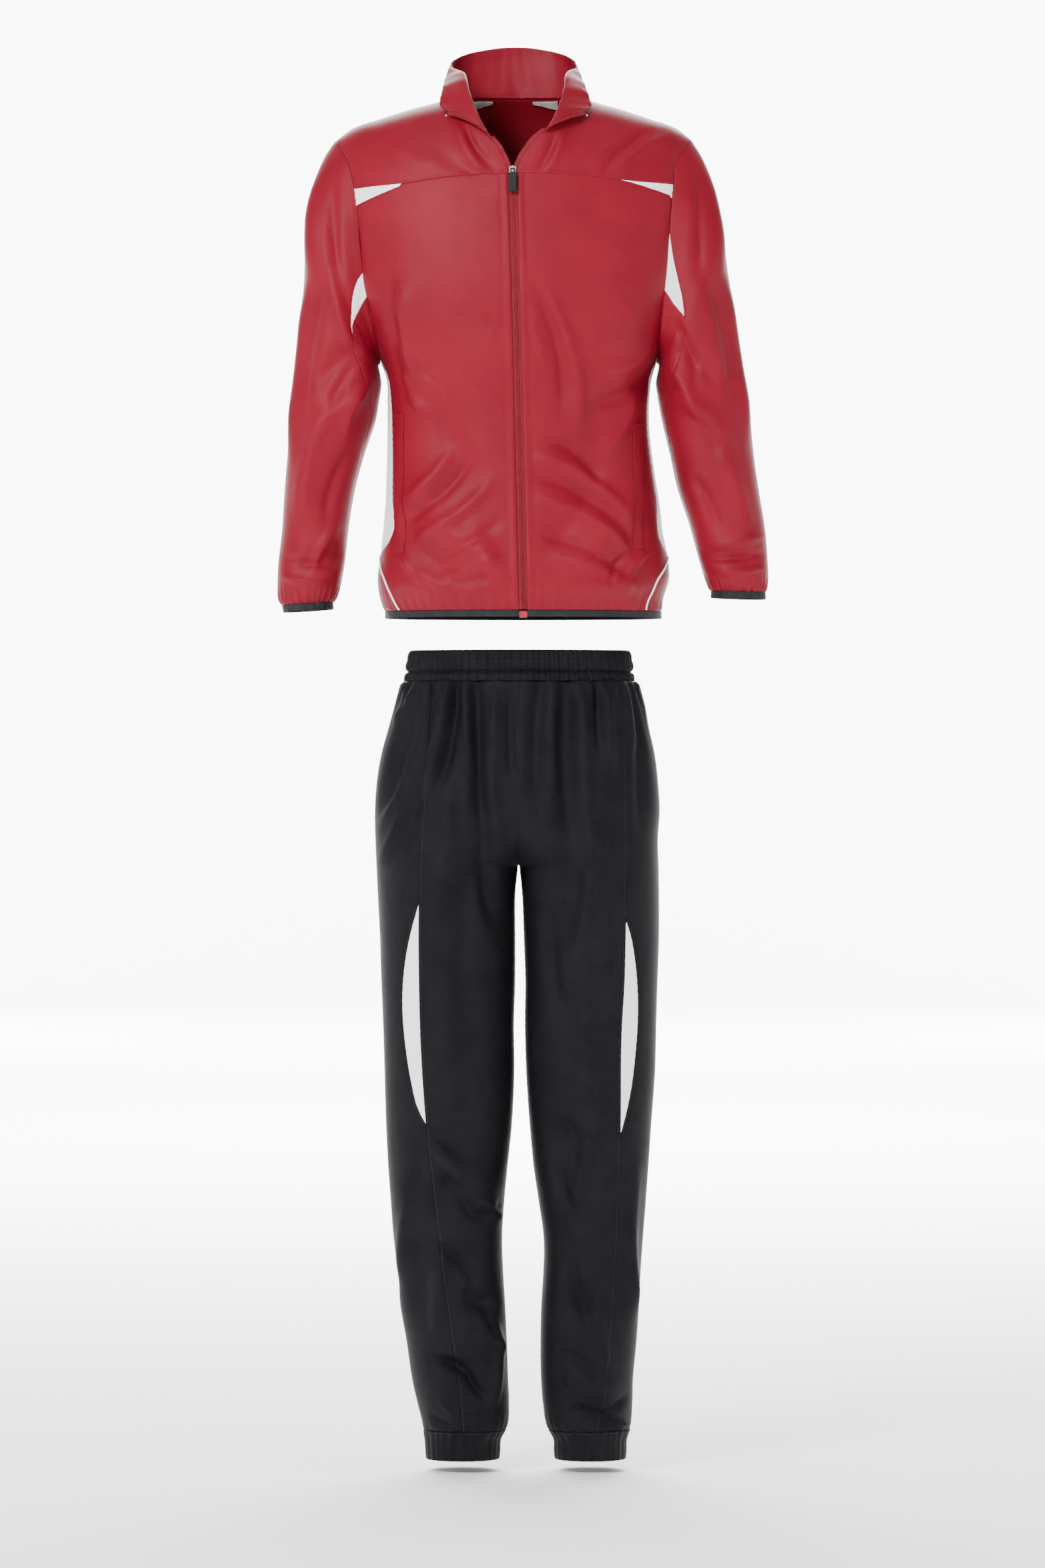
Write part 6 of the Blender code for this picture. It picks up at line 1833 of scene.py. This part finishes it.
def make_trouser_stitches():
    lines = []
    turns = np.linspace(0, 360, 500)
    for height in WAIST_STITCHES:
        lines.append(line_on(waist, turns, np.full_like(turns, height), WAIST_STITCH_OUT))
    for side in (-1, 1):
        surface = partial(leg, side)
        levels = leg_levels(side)
        _, seam, outer, held = leg_edges(side, levels)
        inside = ~held
        for run in np.split(np.arange(len(levels)), np.flatnonzero(np.diff(inside.astype(int))) + 1):
            if inside[run[0]] and len(run) > 4:
                lines.append(line_on(surface, seam[run] - LEG_STITCH_TURN, levels[run], LEG_STITCH_OUT))
        for edge, way in ((seam[held], -1), (outer[held], 1)):
            lines.append(line_on(surface, edge + way * LEG_STITCH_TURN, levels[held], LEG_STITCH_OUT))
        turns = np.linspace(0, 360, 160)
        at_hem = np.full_like(turns, HEM_BAND_TOP - LEG_HEM_STITCH_DROP)
        lines.append(line_on(surface, turns, at_hem, LEG_HEM_STITCH_OUT))
    stitches("trouser_stitches", lines, "black_thread")


# Hard pieces, floor, light and camera

def finish_hard_pieces():
    for name in ("zip_box", "zip_slider", "zip_pull_tab", "zip_top_stop_left", "zip_top_stop_right"):
        piece = frame["nodes"][name]
        piece.data.materials.clear()
        piece.data.materials.append(LOOKS[SLOTS[name]])


def make_room():
    """A pale round floor that sweeps up into a wall, wide enough to stand clear of every view."""
    profile = [(0.0, FLOOR)]
    for share in np.linspace(0, 1, SWEEP_STEPS):
        turn = share * math.pi / 2
        radius = ROOM_RADIUS - SWEEP + SWEEP * math.sin(turn)
        profile.append((radius, FLOOR + SWEEP - SWEEP * math.cos(turn)))
    profile.append((ROOM_RADIUS, ROOM_TOP))
    mesh = bmesh.new()
    rows = []
    for radius, height in profile[1:]:
        turns = [2 * math.pi * k / ROOM_SIDES for k in range(ROOM_SIDES)]
        rows.append([mesh.verts.new((radius * math.cos(t), radius * math.sin(t), height)) for t in turns])
    middle = mesh.verts.new((0, 0, FLOOR))
    for k in range(ROOM_SIDES):
        after = (k + 1) % ROOM_SIDES
        mesh.faces.new((middle, rows[0][k], rows[0][after]))
        for low, high in zip(rows[:-1], rows[1:]):
            mesh.faces.new((low[k], high[k], high[after], low[after]))
    data = bpy.data.meshes.new("room")
    mesh.to_mesh(data)
    mesh.free()
    data.shade_smooth()
    room = linked("room", data)
    material, _, shader = base_material("pale_floor", 0.9, specular=0.1)
    shader.inputs["Base Color"].default_value = (0.93, 0.93, 0.93, 1)
    room.data.materials.append(material)


def make_lights():
    for name, x, y, z, width, height, power, aim in LIGHTS:
        data = bpy.data.lights.new(name, "AREA")
        data.shape = "RECTANGLE"
        data.size = width
        data.size_y = height
        data.energy = power
        lamp = linked(name, data)
        lamp.location = (x, y, z)
        lamp.rotation_euler = (aim - lamp.location).to_track_quat("-Z", "Y").to_euler()
    world = bpy.data.worlds.new("studio")
    bpy.context.scene.world = world
    world.use_nodes = True
    background = world.node_tree.nodes["Background"]
    background.inputs["Color"].default_value = (1, 1, 1, 1)
    background.inputs["Strength"].default_value = WORLD_LIGHT


def make_camera():
    data = bpy.data.cameras.new("camera")
    data.sensor_fit = "VERTICAL"
    data.sensor_height = SENSOR
    data.lens = SENSOR * CAMERA_AWAY / PHOTO_HEIGHT
    data.clip_end = CAMERA_REACH
    camera = linked("camera", data)
    camera.location = (CAMERA_X, -CAMERA_AWAY, CAMERA_Z)
    camera.rotation_euler = (math.radians(90), 0, 0)
    bpy.context.scene.camera = camera


def main():
    make_fronts()
    make_yokes()
    make_chest_inserts()
    make_side_panels()
    make_back()
    make_sleeves()
    make_collar()
    make_neck_inside()
    make_hem_binding()
    make_piping()
    make_pocket_welts()
    make_closed_zip()
    make_open_zip()
    make_jacket_stitches()
    make_legs()
    make_waistband()
    make_trouser_stitches()
    finish_hard_pieces()
    make_room()
    make_lights()
    make_camera()


main()
bpy.context.view_layer.update()
